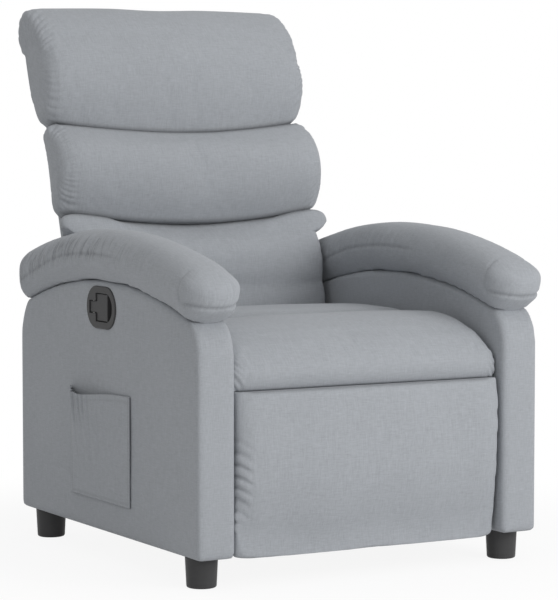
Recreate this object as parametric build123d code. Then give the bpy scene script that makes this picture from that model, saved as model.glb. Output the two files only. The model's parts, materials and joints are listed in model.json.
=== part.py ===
from build123d import *
import math
import os

# Upholstered recliner armchair, in millimetres.
# X runs across the chair (the sitter's left is +X), Y from front to rear, Z up.
# The pieces are drawn with y = 0 at the front faces of the arms and z = 0 on the floor,
# and at the end they are moved so that the middle of the footprint is the origin.

# Arms
CHAIR_WIDTH = 700.0
ARM_THICKNESS = 74.0
ARM_DEPTH = 750.0
ARM_BOTTOM = 54.0
ARM_CROWN = 517.0
ARM_RISE = 54.0
ARM_FRONT_ROUND = 29.0
ARM_FRONT_DROP = 61.0
ARM_REAR_ROUND = 33.0
ARM_REAR_DROP = 78.0
ARM_EDGE = 6.0
COVER = 10.0
FRAME_STOCK = 45.0
FRAME_JOINT_DROP = 33.0

# Arm pads
PAD_WIDTH = 120.0
PAD_HEIGHT = 90.0
PAD_RISE = 54.0
PAD_NOSE_TOP = 22.0
PAD_TAIL_TOP = 34.0
PAD_DROOP = 10.0
PAD_ROUND = 46.0
PAD_PLAN_MARGIN = 1.0
PAD_TUCK = 30.0

# Feet
FOOT_TOP_D = 58.0
FOOT_BOTTOM_D = 53.0
FOOT_ROUND = 4.0
FOOT_INSET = 59.0
STUD_D = 8.0
STUD_IN_FOOT = 18.0
STUD_IN_ARM = 40.0

# Side pocket on the right arm
POCKET_FRONT = 258.0
POCKET_LENGTH = 249.0
POCKET_BOTTOM = 113.0
POCKET_HEIGHT = 201.0
POCKET_SEAM = 9.0
POCKET_CLOTH = 2.5
POCKET_HEM_BOW = 3.0
POCKET_MOUTH_BOW = 20.0
POCKET_BOW_REARWARD = 22.0

# Release handle on the right arm
HANDLE_Y = 376.0
HANDLE_DROP = 50.0
BEZEL_LENGTH = 121.0
BEZEL_HEIGHT = 78.0
BEZEL_PROUD = 4.0
BEZEL_LIP = 12.7
BEZEL_WALL = 2.2
BEZEL_DEPTH = 24.0
PADDLE_PLAY = 1.3
PADDLE_BACK = 6.0
PADDLE_PROUD = 2.0
FINGER_GAP = 23.0
TAB_LENGTH = 27.0
TAB_HEIGHT = 24.0
PADDLE_PIN_D = 4.0
PADDLE_PIN_INSET = 9.5
PADDLE_PIN_DEPTH = 2.0
PADDLE_PIN_LENGTH = 34.0
LEAF_WIDTH = 12.0
LEAF_THICKNESS = 1.0
LEAF_BACK = 34.0
LEAF_FOOT = 14.0
CABLE_D = 6.0
CABLE_BOSS = 12.0
CABLE_BEHIND_HANDLE = 24.0
CABLE_EXIT_Z = 150.0
CABLE_BEND = 30.0
NIPPLE_D = 11.0
NIPPLE_LENGTH = 5.0
HANDLE_NOTCH = 16.0

# Fits
FIT = 0.3
PIN_FIT = 0.2
SIDE_PLAY = 0.2
SIDE_GAP = 4.0

# Flat steel links lie in layers, counted inward from the arm's inner face
PLATE = 3.0
LAYER_PITCH = 6.0
BASE_LAYER = 0
SWING_LAYER = 1
SEAT_LAYER = 2
CONTROL_LAYER = 3
CROSS_LAYER = 4
LIFT_LAYER = 5
PARALLEL_LAYER = 6
BACK_LAYER = 4
RIVET_D = 8.0
RIVET_SHOULDER_D = 13.0
RIVET_HEAD_D = 16.0
RIVET_HEAD = 2.2
LINK_WIDTH = 23.0

# Seat glide: a parallelogram of swing links from the base plates to the seat plates
FRONT_SWING_FOOT = (230.0, 190.0)
REAR_SWING_FOOT = (480.0, 190.0)
SWING_LENGTH = 95.0
SWING_LEAN = 32.0

# Back hinge on the seat plates, and the drive link that tilts the back
HINGE = (640.0, 335.0)
DRIVE_FOOT = (576.4, 110.0)
DRIVE_ON_BACK = (10.0, -31.3)
DRIVE_PLAY = 0.9

# Footrest linkage, pivots in the closed position
LIFT_PIVOT = (110.0, 290.0)
LIFT_END = (150.0, 94.0)
CROSS_END = (78.0, 257.0)
CROSS_TAIL = 24.0
CONTROL_PIVOT = (124.4, 263.9)
CONTROL_PLAY = 2.6
PARALLEL_OFFSET = 60.0
TUBE_D = 20.0
TUBE_WALL = 2.0
TUBE_ALONG = 0.3
TUBE_OFFSET = 24.0
TUBE_EAR = 15.0

# Base plates and cross rails
BASE_PLATE_FRONT = 185.0
BASE_PLATE_REAR = 650.0
BASE_PLATE_BOTTOM = 72.0
BASE_PLATE_TOP = 212.0
BASE_PLATE_CORNER = 18.0
RAIL_TUBE = 30.0
RAIL_TUBE_WALL = 2.5
FRONT_RAIL_Y = 196.0
REAR_RAIL_Y = 606.0
RAIL_Z = 76.0
BASE_BOLTS = ((330.0, 100.0), (560.0, 190.0), (340.0, 190.0), (500.0, 100.0))
BOLT_D = 8.0
BOLT_HEAD_D = 18.0
BOLT_HEAD = 2.2
BOLT_LENGTH = 38.0

# Seat frame
SEAT_FRAME_TOP = 345.0
SEAT_RAIL_HEIGHT = 33.0
SEAT_RAIL_WIDTH = 36.0
SEAT_FRAME_FRONT = 98.0
SEAT_FRAME_REAR = 612.0
SEAT_CROSS_STOCK = 24.0
SEAT_SCREWS = (180.0, 380.0, 570.0)
SCREW_D = 6.0
SCREW_HEAD_D = 12.0
SCREW_LENGTH = 28.0
SPRING_WIRE = 3.5
SPRING_COUNT = 4
SPRING_SPACING = 108.0
SPRING_WIDTH = 60.0
SPRING_TURNS = 10

# Seat upholstery
SEAT_FRONT = 13.0
SEAT_GROOVE = 288.0
SEAT_GROOVE_GAP = 1.5
SEAT_GROOVE_DEPTH = 14.0
ROLL_TOP = 458.0
SEAT_TOP = 453.0
SEAT_EDGE_DROP = 17.0
SEAT_REAR_TOP = 444.0
SEAT_BACK_GAP = 8.0
SEAT_SIDE_DRAW = 10.0
SEAT_CREST_SHARE = 0.42
SEAT_REAR_ROUND = 26.0
ROLL_NOSE_Z = 402.0
ROLL_NOSE_LOW = 10.0
ROLL_NOSE_HIGH = 14.0
ROLL_BROW = 46.0
ROLL_BROW_DROP = 31.0
ROLL_SHOULDER = 105.0
ROLL_SHOULDER_DROP = 8.0
ROLL_CREST = 190.0

# Back frame, measured along the back from the hinge and forward from the frame's rear face
BACK_LEAN = 17.5
HINGE_DEPTH = 50.0
BACK_POST = 22.0
BACK_FRAME = 24.0
POST_BOTTOM = 33.0
BACK_RAIL = 42.0
LOW_RAIL_AT = 40.0
MIDDLE_RAIL_AT = 345.0
STRAP_WIDTH = 60.0
STRAP = 2.0
STRAPS_AT = (110.0, 215.0, 420.0, 525.0)
BRACKET_TOP = 118.0
BACK_BOLTS_AT = (58.0, 112.0)
PANEL = 5.0
PANEL_SIDE = 2.0
PANEL_SIDE_BOTTOM = 135.0

# Back pillows
PILLOW_WIDTH = 580.0
LOWER_CLEARANCE = 1.0
PILLOW_BOTTOM = 28.0
LOWER_SEAM = 297.0
UPPER_SEAM = 483.0
PILLOW_TOP = 740.0
PILLOW_OVER_POSTS = 87.0
PILLOW_GAP = 2.0
SEAM_DEPTH = 80.0
SEAM_ROLL = 12.0
SEAM_ARCH = 4.0
LOWER_FRONT = 104.0
LOWER_WAIST = 110.0
LOWER_BULGE = 128.0
LOWER_BULGE_DROP = 55.0
LOWER_DRAW = 18.0
SHOULDER_WIDTH = 580.0
SHOULDER_HEIGHT = 38.0
MIDDLE_BULGE = 156.0
MIDDLE_END_BULGE = 102.0
MIDDLE_END_REAR = 58.0
MIDDLE_DRAW = 16.0
HEAD_BULGE = 132.0
HEAD_BULGE_UP = 120.0
HEAD_REAR = 22.0
HEAD_END_REAR = 8.0
HEAD_END_LOW = 46.0
HEAD_CREST = 34.0
HEAD_DRAW = 24.0

# Footrest
FOOTREST_TOP = 344.0
FOOTREST_BOTTOM = 54.0
FOOTREST_PAD = 40.0
FOOTREST_DRAW = 12.0
FOOTREST_EDGE = 10.0
FOOTREST_BULGE = 9.0
FOOTREST_BOARD = 12.0
BOARD_MARGIN = 20.0
BOARD_SIDE_MARGIN = 10.0
BRACKET_FLANGE = 18.0

# Derived places
ARM_OUTER = CHAIR_WIDTH / 2
ARM_INNER = ARM_OUTER - ARM_THICKNESS
ARM_MIDDLE = (ARM_OUTER + ARM_INNER) / 2
INNER_HALF = ARM_INNER - SIDE_GAP
ARM_SHOULDER = ARM_CROWN - ARM_RISE
ARM_STRAIGHT = ARM_SHOULDER - ARM_FRONT_DROP
ARM_REAR_STRAIGHT = ARM_SHOULDER - ARM_REAR_DROP
FRAME_JOINT = ARM_SHOULDER - FRAME_JOINT_DROP
PAD_CROWN = ARM_CROWN + PAD_HEIGHT
PAD_END_TOP = PAD_CROWN - PAD_RISE
HANDLE_Z = ARM_CROWN - HANDLE_DROP
POST_TOP = PILLOW_TOP - PILLOW_OVER_POSTS
BACK_RAILS_AT = (LOW_RAIL_AT, MIDDLE_RAIL_AT, POST_TOP - BACK_RAIL)


def add(a, b, scale=1.0):
    """Point a moved by b, both (y, z)."""
    return (a[0] + scale * b[0], a[1] + scale * b[1])


def toward(a, b, distance):
    """The point that lies a distance from a on the way to b."""
    span = math.dist(a, b)
    return add(a, (b[0] - a[0], b[1] - a[1]), distance / span)


def blend(a, b, share):
    """Numbers or points between a and b."""
    if isinstance(a, tuple):
        return tuple(blend(i, j, share) for i, j in zip(a, b))
    return a + share * (b - a)


# Pivots that follow from the sizes above
SWING = (SWING_LENGTH * math.sin(math.radians(SWING_LEAN)), SWING_LENGTH * math.cos(math.radians(SWING_LEAN)))
FRONT_SWING_TOP = add(FRONT_SWING_FOOT, SWING)
REAR_SWING_TOP = add(REAR_SWING_FOOT, SWING)
DRIVE_TOP = add(HINGE, DRIVE_ON_BACK)
CONTROL_END = toward(LIFT_END, CROSS_END, -CROSS_TAIL)
PARALLEL_FOOT = toward(LIFT_END, LIFT_PIVOT, PARALLEL_OFFSET)
PARALLEL_TOP = add(CROSS_END, (PARALLEL_FOOT[0] - LIFT_END[0], PARALLEL_FOOT[1] - LIFT_END[1]))


def slab(outline, x0, x1):
    """A side-view outline, drawn in (y, z), given thickness from x0 to x1."""
    return extrude(Plane.YZ.offset(x0) * outline, amount=x1 - x0, dir=(1, 0, 0))


def rod(x0, x1, centre, diameter):
    """Round bar across the chair."""
    return slab(Pos(*centre) * Circle(diameter / 2), x0, x1)


def block(x0, x1, y0, y1, z0, z1):
    """Square-cornered piece between six planes."""
    size = Box(x1 - x0, y1 - y0, z1 - z0)
    return Pos((x0 + x1) / 2, (y0 + y1) / 2, (z0 + z1) / 2) * size


def closed(*edges):
    """Flat face bounded by edges given in order."""
    return Face(Wire([edge.edge() for edge in edges]))


def polygon(*corners):
    """Flat face with straight sides."""
    return make_face(Polyline(*corners, close=True))


def pair(piece):
    """A left-hand piece and its mirror image on the right."""
    return [piece, mirror(piece, about=Plane.YZ)]


def on_right(piece):
    """A piece drawn on the left, moved to the right by mirroring."""
    return mirror(piece, about=Plane.YZ)


def layer_outer(layer):
    """Outer face of a link layer."""
    return ARM_INNER - layer * LAYER_PITCH


def layer_inner(layer):
    """Inner face of a link layer."""
    return layer_outer(layer) - PLATE


def plate(layer, outline, holes):
    """Sheet-steel piece in one layer; holes lists (centre, diameter)."""
    for centre, diameter in holes:
        outline = outline - Pos(*centre) * Circle(diameter / 2)
    return slab(outline, layer_inner(layer), layer_outer(layer))


def bar(start, end, width=LINK_WIDTH):
    """Outline of a flat bar with round ends, between two pivots."""
    turn = math.degrees(math.atan2(end[1] - start[1], end[0] - start[0]))
    return Pos(*blend(start, end, 0.5)) * Rot(0, 0, turn) * SlotCenterToCenter(math.dist(start, end), width)


def hull(*discs):
    """Outline that wraps tightly round discs given as (centre, diameter)."""
    edges = []
    for centre, diameter in discs:
        edges += (Pos(*centre) * Circle(diameter / 2)).edges()
    return make_hull(edges)


def rivet(pivot, owner, other):
    """Shoulder rivet: fast in the owner's plate, free in the other's."""
    outer = min(owner, other)
    inner = max(owner, other)
    top = layer_outer(outer) + (SIDE_PLAY if other == outer else 0)
    bottom = layer_inner(inner) - (SIDE_PLAY if other == inner else 0)
    pin = rod(bottom, top, pivot, RIVET_D)
    pin += rod(layer_outer(inner) + SIDE_PLAY, layer_inner(outer) - SIDE_PLAY, pivot, RIVET_SHOULDER_D)
    pin += rod(bottom - RIVET_HEAD, bottom, pivot, RIVET_HEAD_D)
    if outer > BASE_LAYER:
        pin += rod(top, top + RIVET_HEAD, pivot, RIVET_HEAD_D)
    return pin


def tight(pivot):
    """Hole that grips its rivet."""
    return (pivot, RIVET_D)


def free(pivot, play=PIN_FIT):
    """Hole that turns on its rivet."""
    return (pivot, RIVET_D + 2 * play)


# Arms

def arm_outline(grow=0.0):
    """Side view of an arm: straight front, arched top, rounded shoulders."""
    front = (0, ARM_STRAIGHT)
    front_top = (ARM_FRONT_ROUND, ARM_SHOULDER)
    crown = (ARM_DEPTH / 2, ARM_CROWN)
    rear_top = (ARM_DEPTH - ARM_REAR_ROUND, ARM_SHOULDER)
    rear = (ARM_DEPTH, ARM_REAR_STRAIGHT)
    outline = closed(
        Line((0, ARM_BOTTOM), front),
        TangentArc(front, front_top, tangent=(0, 1)),
        ThreePointArc(front_top, crown, rear_top),
        TangentArc(rear, rear_top, tangent=(0, 1)),
        Line(rear, (ARM_DEPTH, ARM_BOTTOM)),
        Line((ARM_DEPTH, ARM_BOTTOM), (0, ARM_BOTTOM)),
    )
    if grow:
        return offset(outline, grow, kind=Kind.INTERSECTION)
    return outline


def through(y, first, second, third):
    """Height at y of the circle through three (y, z) points that arch upward."""
    ax, ay = first
    bx, by = second
    cx, cy = third
    d = 2 * (ax * (by - cy) + bx * (cy - ay) + cx * (ay - by))
    a2 = ax * ax + ay * ay
    b2 = bx * bx + by * by
    c2 = cx * cx + cy * cy
    u = (a2 * (by - cy) + b2 * (cy - ay) + c2 * (ay - by)) / d
    v = (a2 * (cx - bx) + b2 * (ax - cx) + c2 * (bx - ax)) / d
    return v + math.sqrt((ax - u) ** 2 + (ay - v) ** 2 - (y - u) ** 2)


def foot_centres():
    """Where the two feet of an arm stand, as y."""
    return (FOOT_INSET, ARM_DEPTH - FOOT_INSET)


def vertical_rod(x, y, z0, z1, diameter):
    """Upright round bar."""
    return Pos(x, y, (z0 + z1) / 2) * Cylinder(diameter / 2, z1 - z0)


def arm_holes():
    """Stud and bolt holes that every arm has."""
    holes = []
    for y in foot_centres():
        holes.append(vertical_rod(ARM_MIDDLE, y, ARM_BOTTOM - 1, ARM_BOTTOM + STUD_IN_ARM, STUD_D))
    for centre in BASE_BOLTS:
        holes.append(rod(ARM_INNER - 1, ARM_INNER - PLATE + BOLT_LENGTH, centre, BOLT_D))
    return holes


def arm_cover():
    """Padded cover round the timber frame, hollow inside."""
    body = slab(arm_outline(), ARM_INNER, ARM_OUTER)
    body = fillet(body.edges().filter_by(Axis.X, reverse=True), ARM_EDGE)
    body -= slab(arm_outline(-COVER), ARM_INNER + COVER, ARM_OUTER - COVER)
    for hole in arm_holes():
        body -= hole
    return body


def arm_frame():
    """Timber frame in an arm: bottom rail, front and rear posts, arched top rail."""
    x0 = ARM_INNER + COVER + FIT
    x1 = ARM_OUTER - COVER - FIT
    margin = COVER + FIT
    ring = slab(arm_outline(-margin), x0, x1) - slab(arm_outline(-margin - FRAME_STOCK), x0, x1)
    for hole in arm_holes():
        ring -= hole
    low = ARM_BOTTOM + margin + FRAME_STOCK
    middle = ARM_DEPTH / 2
    bottom_rail = ring & block(x0, x1, 0, ARM_DEPTH, ARM_BOTTOM, low)
    top_rail = ring & block(x0, x1, 0, ARM_DEPTH, FRAME_JOINT, ARM_CROWN)
    front_post = ring & block(x0, x1, 0, middle, low, FRAME_JOINT)
    rear_post = ring & block(x0, x1, middle, ARM_DEPTH, low, FRAME_JOINT)
    return [bottom_rail, front_post, rear_post, top_rail]


def arm_pad():
    """Stuffed arm pad: a fat arched roll, round at both ends in side view and plan, tucked over the arm."""
    low = ARM_SHOULDER - PAD_DROOP
    middle = ARM_DEPTH / 2
    top_points = ((0, PAD_END_TOP), (middle, PAD_CROWN), (ARM_DEPTH, PAD_END_TOP))
    nose_top = (PAD_NOSE_TOP, through(PAD_NOSE_TOP, *top_points))
    tail = ARM_DEPTH - PAD_TAIL_TOP
    tail_top = (tail, through(tail, *top_points))
    arch_front = (ARM_FRONT_ROUND, low)
    arch_rear = (ARM_DEPTH - ARM_REAR_ROUND, low)
    top = ThreePointArc(nose_top, (middle, PAD_CROWN), tail_top)
    profile = closed(
        ThreePointArc(arch_front, (middle, ARM_CROWN - PAD_DROOP), arch_rear),
        TangentArc(tail_top, arch_rear, tangent=top % 1),
        top,
        TangentArc(nose_top, arch_front, tangent=-(top % 0)),
    )
    profile = fillet(profile.vertices().group_by(Axis.Y)[0], PAD_TUCK)
    roll = slab(profile, ARM_MIDDLE - PAD_WIDTH / 2, ARM_MIDDLE + PAD_WIDTH / 2)
    roll = fillet(roll.edges().filter_by(Axis.X, reverse=True), PAD_ROUND)
    ends = roll.bounding_box()
    plan = SlotOverall(ends.size.Y + 2 * PAD_PLAN_MARGIN, PAD_WIDTH + 2 * PAD_PLAN_MARGIN)
    plan = Pos(ARM_MIDDLE, ends.center().Y) * Rot(0, 0, 90) * plan
    roll &= extrude(plan, amount=PAD_CROWN, dir=(0, 0, 1))
    return roll - slab(arm_outline(FIT), ARM_INNER - FIT, ARM_OUTER + FIT)


def foot(x, y):
    """Moulded foot: tapered, with a rounded tread edge and a blind hole for its stud."""
    profile = closed(
        Line((0, 0), (FOOT_BOTTOM_D / 2 - FOOT_ROUND, 0)),
        RadiusArc((FOOT_BOTTOM_D / 2 - FOOT_ROUND, 0), (FOOT_BOTTOM_D / 2, FOOT_ROUND), -FOOT_ROUND),
        Line((FOOT_BOTTOM_D / 2, FOOT_ROUND), (FOOT_TOP_D / 2, ARM_BOTTOM)),
        Line((FOOT_TOP_D / 2, ARM_BOTTOM), (0, ARM_BOTTOM)),
        Line((0, ARM_BOTTOM), (0, 0)),
    )
    body = revolve(Plane.XZ * profile, Axis.Z)
    body -= vertical_rod(0, 0, ARM_BOTTOM - STUD_IN_FOOT, ARM_BOTTOM + 1, STUD_D)
    return Pos(x, y, 0) * body


def foot_studs():
    """Threaded studs that hold the feet."""
    studs = []
    for y in foot_centres():
        studs += pair(vertical_rod(ARM_MIDDLE, y, ARM_BOTTOM - STUD_IN_FOOT, ARM_BOTTOM + STUD_IN_ARM, STUD_D))
    return studs


# Side pocket

def pocket_slice(z, inset, bow):
    """Plan of the pocket at height z: flat on the arm, bowed on the outside."""
    y0 = POCKET_FRONT + inset
    y1 = POCKET_FRONT + POCKET_LENGTH - inset
    x = ARM_OUTER + FIT
    crest = (x + bow, (y0 + y1) / 2 + POCKET_BOW_REARWARD)
    return Plane.XY.offset(z) * closed(Line((x, y0), (x, y1)), ThreePointArc((x, y1), crest, (x, y0)))


def side_pocket():
    """Slack cloth pocket, sewn to the arm at its front, bottom and rear edges."""
    top = POCKET_BOTTOM + POCKET_HEIGHT
    floor = POCKET_BOTTOM + POCKET_SEAM
    outside = loft([
        pocket_slice(POCKET_BOTTOM, 0, POCKET_HEM_BOW),
        pocket_slice(top, 0, POCKET_MOUTH_BOW),
    ])
    rim = block(ARM_OUTER + FIT, ARM_OUTER + FIT + POCKET_CLOTH, POCKET_FRONT, POCKET_FRONT + POCKET_LENGTH,
                POCKET_BOTTOM, top)
    inside = loft([
        pocket_slice(floor, POCKET_SEAM, POCKET_HEM_BOW - POCKET_CLOTH + FIT),
        pocket_slice(top, POCKET_SEAM, POCKET_MOUTH_BOW - POCKET_CLOTH),
    ])
    return on_right(outside + rim - inside)


# Release handle

def handle_oval(inset):
    """Oval of the handle, drawn in from the bezel's rim."""
    return Pos(HANDLE_Y, HANDLE_Z) * SlotOverall(BEZEL_LENGTH - 2 * inset, BEZEL_HEIGHT - 2 * inset)


def handle_mouth(inset, gap=0.0):
    """Opening of the bezel: a wide mouth, short of its front by a gap, and a slot for the paddle's tab."""
    front = HANDLE_Y - BEZEL_LENGTH / 2 + BEZEL_LIP + gap
    rear = HANDLE_Y + BEZEL_LENGTH / 2 - BEZEL_LIP - inset
    mouth_rear = HANDLE_Y + BEZEL_LENGTH / 2 - BEZEL_LIP - TAB_LENGTH - inset
    wide = Rectangle(mouth_rear - front, BEZEL_HEIGHT)
    mouth = handle_oval(BEZEL_LIP + inset) & Pos((front + mouth_rear) / 2, HANDLE_Z) * wide
    tab_front = mouth_rear - TAB_LENGTH / 2
    tab = Rectangle(rear - tab_front, TAB_HEIGHT - 2 * inset)
    return mouth + Pos((tab_front + rear) / 2, HANDLE_Z) * tab


def cable_place():
    """Where the cable leaves the handle, as (x, y)."""
    return (ARM_OUTER - BEZEL_DEPTH - CABLE_BOSS / 2, HANDLE_Y + CABLE_BEHIND_HANDLE)


def paddle_pin_place():
    """Axis of the paddle's pin, as (x, y)."""
    rear = HANDLE_Y + BEZEL_LENGTH / 2 - BEZEL_LIP
    return (ARM_OUTER - PADDLE_PIN_DEPTH, rear - PADDLE_PIN_INSET)


def paddle_pin(diameter):
    """Upright pin at the rear end of the paddle."""
    x, y = paddle_pin_place()
    half = PADDLE_PIN_LENGTH / 2
    return vertical_rod(x, y, HANDLE_Z - half, HANDLE_Z + half, diameter)


def handle_bezel():
    """Oval flange with a moulded cup behind it and a boss for the cable."""
    flange = slab(handle_oval(0), ARM_OUTER, ARM_OUTER + BEZEL_PROUD)
    flange = fillet(flange.faces().sort_by(Axis.X)[-1].edges(), BEZEL_PROUD * 0.6)
    cup = slab(handle_oval(BEZEL_LIP - BEZEL_WALL), ARM_OUTER - BEZEL_DEPTH, ARM_OUTER)
    hollow = slab(handle_mouth(0), ARM_OUTER - BEZEL_DEPTH + BEZEL_WALL, ARM_OUTER + BEZEL_PROUD)
    x, y = cable_place()
    half = CABLE_BOSS / 2
    boss = block(x - half, x + half, y - half, y + half, HANDLE_Z - half, HANDLE_Z + half)
    return flange + cup + boss - hollow - paddle_pin(PADDLE_PIN_D)


def release_paddle():
    """Paddle hinged by a tab at its rear; fingers reach behind its front edge."""
    body = slab(handle_mouth(PADDLE_PLAY, FINGER_GAP), ARM_OUTER - PADDLE_BACK, ARM_OUTER + PADDLE_PROUD)
    body = fillet(body.faces().sort_by(Axis.X)[-1].edges(), PADDLE_PROUD * 0.75)
    return body - paddle_pin(PADDLE_PIN_D + 2 * PIN_FIT)


def paddle_spring():
    """Bent leaf on the cup's floor that presses the paddle home."""
    floor = ARM_OUTER - BEZEL_DEPTH + BEZEL_WALL
    reach = ARM_OUTER - PADDLE_BACK - FIT
    y = paddle_pin_place()[1] - LEAF_FOOT
    t = LEAF_THICKNESS
    strip = polygon(
        (floor, y), (floor, y - LEAF_FOOT), (reach - t, y - LEAF_BACK), (reach - t, y - LEAF_BACK - t),
        (reach, y - LEAF_BACK - t), (reach, y - LEAF_BACK), (floor + t, y - LEAF_FOOT), (floor + t, y),
    )
    return extrude(Plane.XY.offset(HANDLE_Z - LEAF_WIDTH / 2) * strip, amount=LEAF_WIDTH, dir=(0, 0, 1))


def release_cable():
    """Sheathed cable from the handle down inside the arm to the base plate."""
    x, y = cable_place()
    top = HANDLE_Z - CABLE_BOSS / 2
    inner = layer_inner(BASE_LAYER)
    path = FilletPolyline((x, y, top), (x, y, CABLE_EXIT_Z), (inner, y, CABLE_EXIT_Z), radius=CABLE_BEND)
    section = Plane((x, y, top), z_dir=(0, 0, -1)) * Circle(CABLE_D / 2)
    nipple = rod(inner - NIPPLE_LENGTH, inner, (y, CABLE_EXIT_Z), NIPPLE_D)
    return sweep(section, path=path) + nipple


def handle_clearance():
    """Room for the cup in the arm's cover."""
    return slab(handle_oval(BEZEL_LIP - BEZEL_WALL - FIT), ARM_OUTER - BEZEL_DEPTH - FIT, ARM_OUTER + 1)


def handle_notch():
    """Notch in the arm's top rail behind the handle."""
    half = BEZEL_LENGTH / 2
    depth = BEZEL_DEPTH + HANDLE_NOTCH
    top = HANDLE_Z + BEZEL_HEIGHT / 2 - BEZEL_LIP + BEZEL_WALL + FIT
    return block(ARM_OUTER - depth, ARM_OUTER, HANDLE_Y - half, HANDLE_Y + half, ARM_BOTTOM, top)


def cable_hole():
    """Hole for the cable in the arm's inner wall and the base plate."""
    return rod(0, ARM_INNER + COVER + 1, (cable_place()[1], CABLE_EXIT_Z), CABLE_D)


# Base

def base_plate():
    """Steel side plate of the base, bolted to the inside of an arm."""
    width = BASE_PLATE_REAR - BASE_PLATE_FRONT
    height = BASE_PLATE_TOP - BASE_PLATE_BOTTOM
    outline = Pos(BASE_PLATE_FRONT + width / 2, BASE_PLATE_BOTTOM + height / 2) * RectangleRounded(
        width, height, BASE_PLATE_CORNER)
    holes = [tight(FRONT_SWING_FOOT), tight(REAR_SWING_FOOT), tight(DRIVE_FOOT)]
    holes += [(centre, BOLT_D) for centre in BASE_BOLTS]
    return plate(BASE_LAYER, outline, holes)


def cross_rail(y):
    """Square steel tube between the base plates."""
    half = layer_inner(BASE_LAYER)
    wall = RAIL_TUBE_WALL
    outer = block(-half, half, y, y + RAIL_TUBE, RAIL_Z, RAIL_Z + RAIL_TUBE)
    return outer - block(-half, half, y + wall, y + RAIL_TUBE - wall, RAIL_Z + wall, RAIL_Z + RAIL_TUBE - wall)


def base_bolts():
    """Bolts through the base plates into the arm frames."""
    inner = layer_inner(BASE_LAYER)
    bolts = []
    for centre in BASE_BOLTS:
        bolt = rod(inner, inner + BOLT_LENGTH, centre, BOLT_D)
        bolt += rod(inner - BOLT_HEAD, inner, centre, BOLT_HEAD_D)
        bolts += pair(bolt)
    return bolts


def swing_link(foot_pivot, top_pivot):
    """One of the four links that carry the seat."""
    return plate(SWING_LAYER, bar(foot_pivot, top_pivot), [free(foot_pivot), tight(top_pivot)])


# Seat

def seat_plate():
    """Steel side plate of the seat, relieved where the drive pin swings past the hinge."""
    corner = LINK_WIDTH / 2
    high = SEAT_FRAME_TOP - corner
    outline = hull(
        (LIFT_PIVOT, LINK_WIDTH * 1.3), (CONTROL_PIVOT, LINK_WIDTH), (FRONT_SWING_TOP, LINK_WIDTH * 1.3),
        (REAR_SWING_TOP, LINK_WIDTH * 1.3), (HINGE, LINK_WIDTH),
        ((SEAT_FRAME_FRONT + corner, high), LINK_WIDTH), ((SEAT_FRAME_REAR - corner, high), LINK_WIDTH),
    )
    reach = math.hypot(*DRIVE_ON_BACK)
    room = RIVET_SHOULDER_D / 2 + SIDE_GAP / 2
    relief = Pos(*HINGE) * (Circle(reach + room) - Circle(reach - room))
    below = Pos(HINGE[0], HINGE[1] - reach) * Rectangle(3 * reach, 2 * reach)
    holes = [tight(LIFT_PIVOT), tight(CONTROL_PIVOT), free(FRONT_SWING_TOP), free(REAR_SWING_TOP), tight(HINGE)]
    holes += [((y, screw_height()), SCREW_D) for y in SEAT_SCREWS]
    return plate(SEAT_LAYER, outline - (relief & below), holes)


def screw_height():
    """Height of the screws that hold the side rails."""
    return SEAT_FRAME_TOP - SEAT_RAIL_HEIGHT / 2


def seat_screw(y):
    """Screw through the seat plate into the side rail."""
    outer = layer_outer(SEAT_LAYER)
    centre = (y, screw_height())
    shank = rod(outer - SCREW_LENGTH, outer, centre, SCREW_D)
    return shank + rod(outer, outer + RIVET_HEAD, centre, SCREW_HEAD_D)


def seat_side_rail():
    """Timber rail along the inside of a seat plate."""
    outer = layer_inner(SEAT_LAYER)
    low = SEAT_FRAME_TOP - SEAT_RAIL_HEIGHT
    rail = block(outer - SEAT_RAIL_WIDTH, outer, SEAT_FRAME_FRONT + SEAT_CROSS_STOCK,
                 SEAT_FRAME_REAR - SEAT_CROSS_STOCK, low, SEAT_FRAME_TOP)
    for y in SEAT_SCREWS:
        rail -= rod(layer_outer(SEAT_LAYER) - SCREW_LENGTH, outer, (y, screw_height()), SCREW_D)
    return rail


def seat_cross_rail(y):
    """Timber rail across the seat frame, starting at y."""
    half = layer_inner(SEAT_LAYER)
    return block(-half, half, y, y + SEAT_CROSS_STOCK, SEAT_FRAME_TOP - SEAT_RAIL_HEIGHT, SEAT_FRAME_TOP)


def sinuous_spring(x):
    """Flat zigzag spring from the front rail to the rear rail."""
    start = SEAT_FRAME_FRONT + SEAT_CROSS_STOCK / 2
    end = SEAT_FRAME_REAR - SEAT_CROSS_STOCK / 2
    step = (end - start) / SPRING_TURNS
    side = -SPRING_WIDTH / 2
    route = [(x + side, start)]
    for turn in range(SPRING_TURNS):
        side = -side
        route += [(x + side, start + turn * step), (x + side, start + (turn + 1) * step)]
    route.append((x - side, end))
    bend = min(step, SPRING_WIDTH) * 0.48
    wire = Wire(FilletPolyline(*route, radius=bend).edges())
    outline = Face(wire.offset_2d(SPRING_WIRE / 2, kind=Kind.ARC, side=Side.BOTH))
    return Pos(0, 0, SEAT_FRAME_TOP) * extrude(outline, amount=SPRING_WIRE, dir=(0, 0, 1))


def seat_springs():
    """The row of springs under the seat."""
    first = -SPRING_SPACING * (SPRING_COUNT - 1) / 2
    return [sinuous_spring(first + number * SPRING_SPACING) for number in range(SPRING_COUNT)]


def seat_deck():
    """Height of the underside of the seat upholstery."""
    return SEAT_FRAME_TOP + SPRING_WIRE + FIT


def stuffed(half_width, section, squareness):
    """Cushion lofted across the chair; its section is drawn in toward both sides."""
    sections = []
    for share in (-1.0, -0.96, -0.82, -0.5, 0.0, 0.5, 0.82, 0.96, 1.0):
        pull = 1 - math.sqrt(1 - abs(share) ** squareness)
        sections.append(Plane.YZ.offset(share * half_width) * section(pull))
    return loft(sections)


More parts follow.
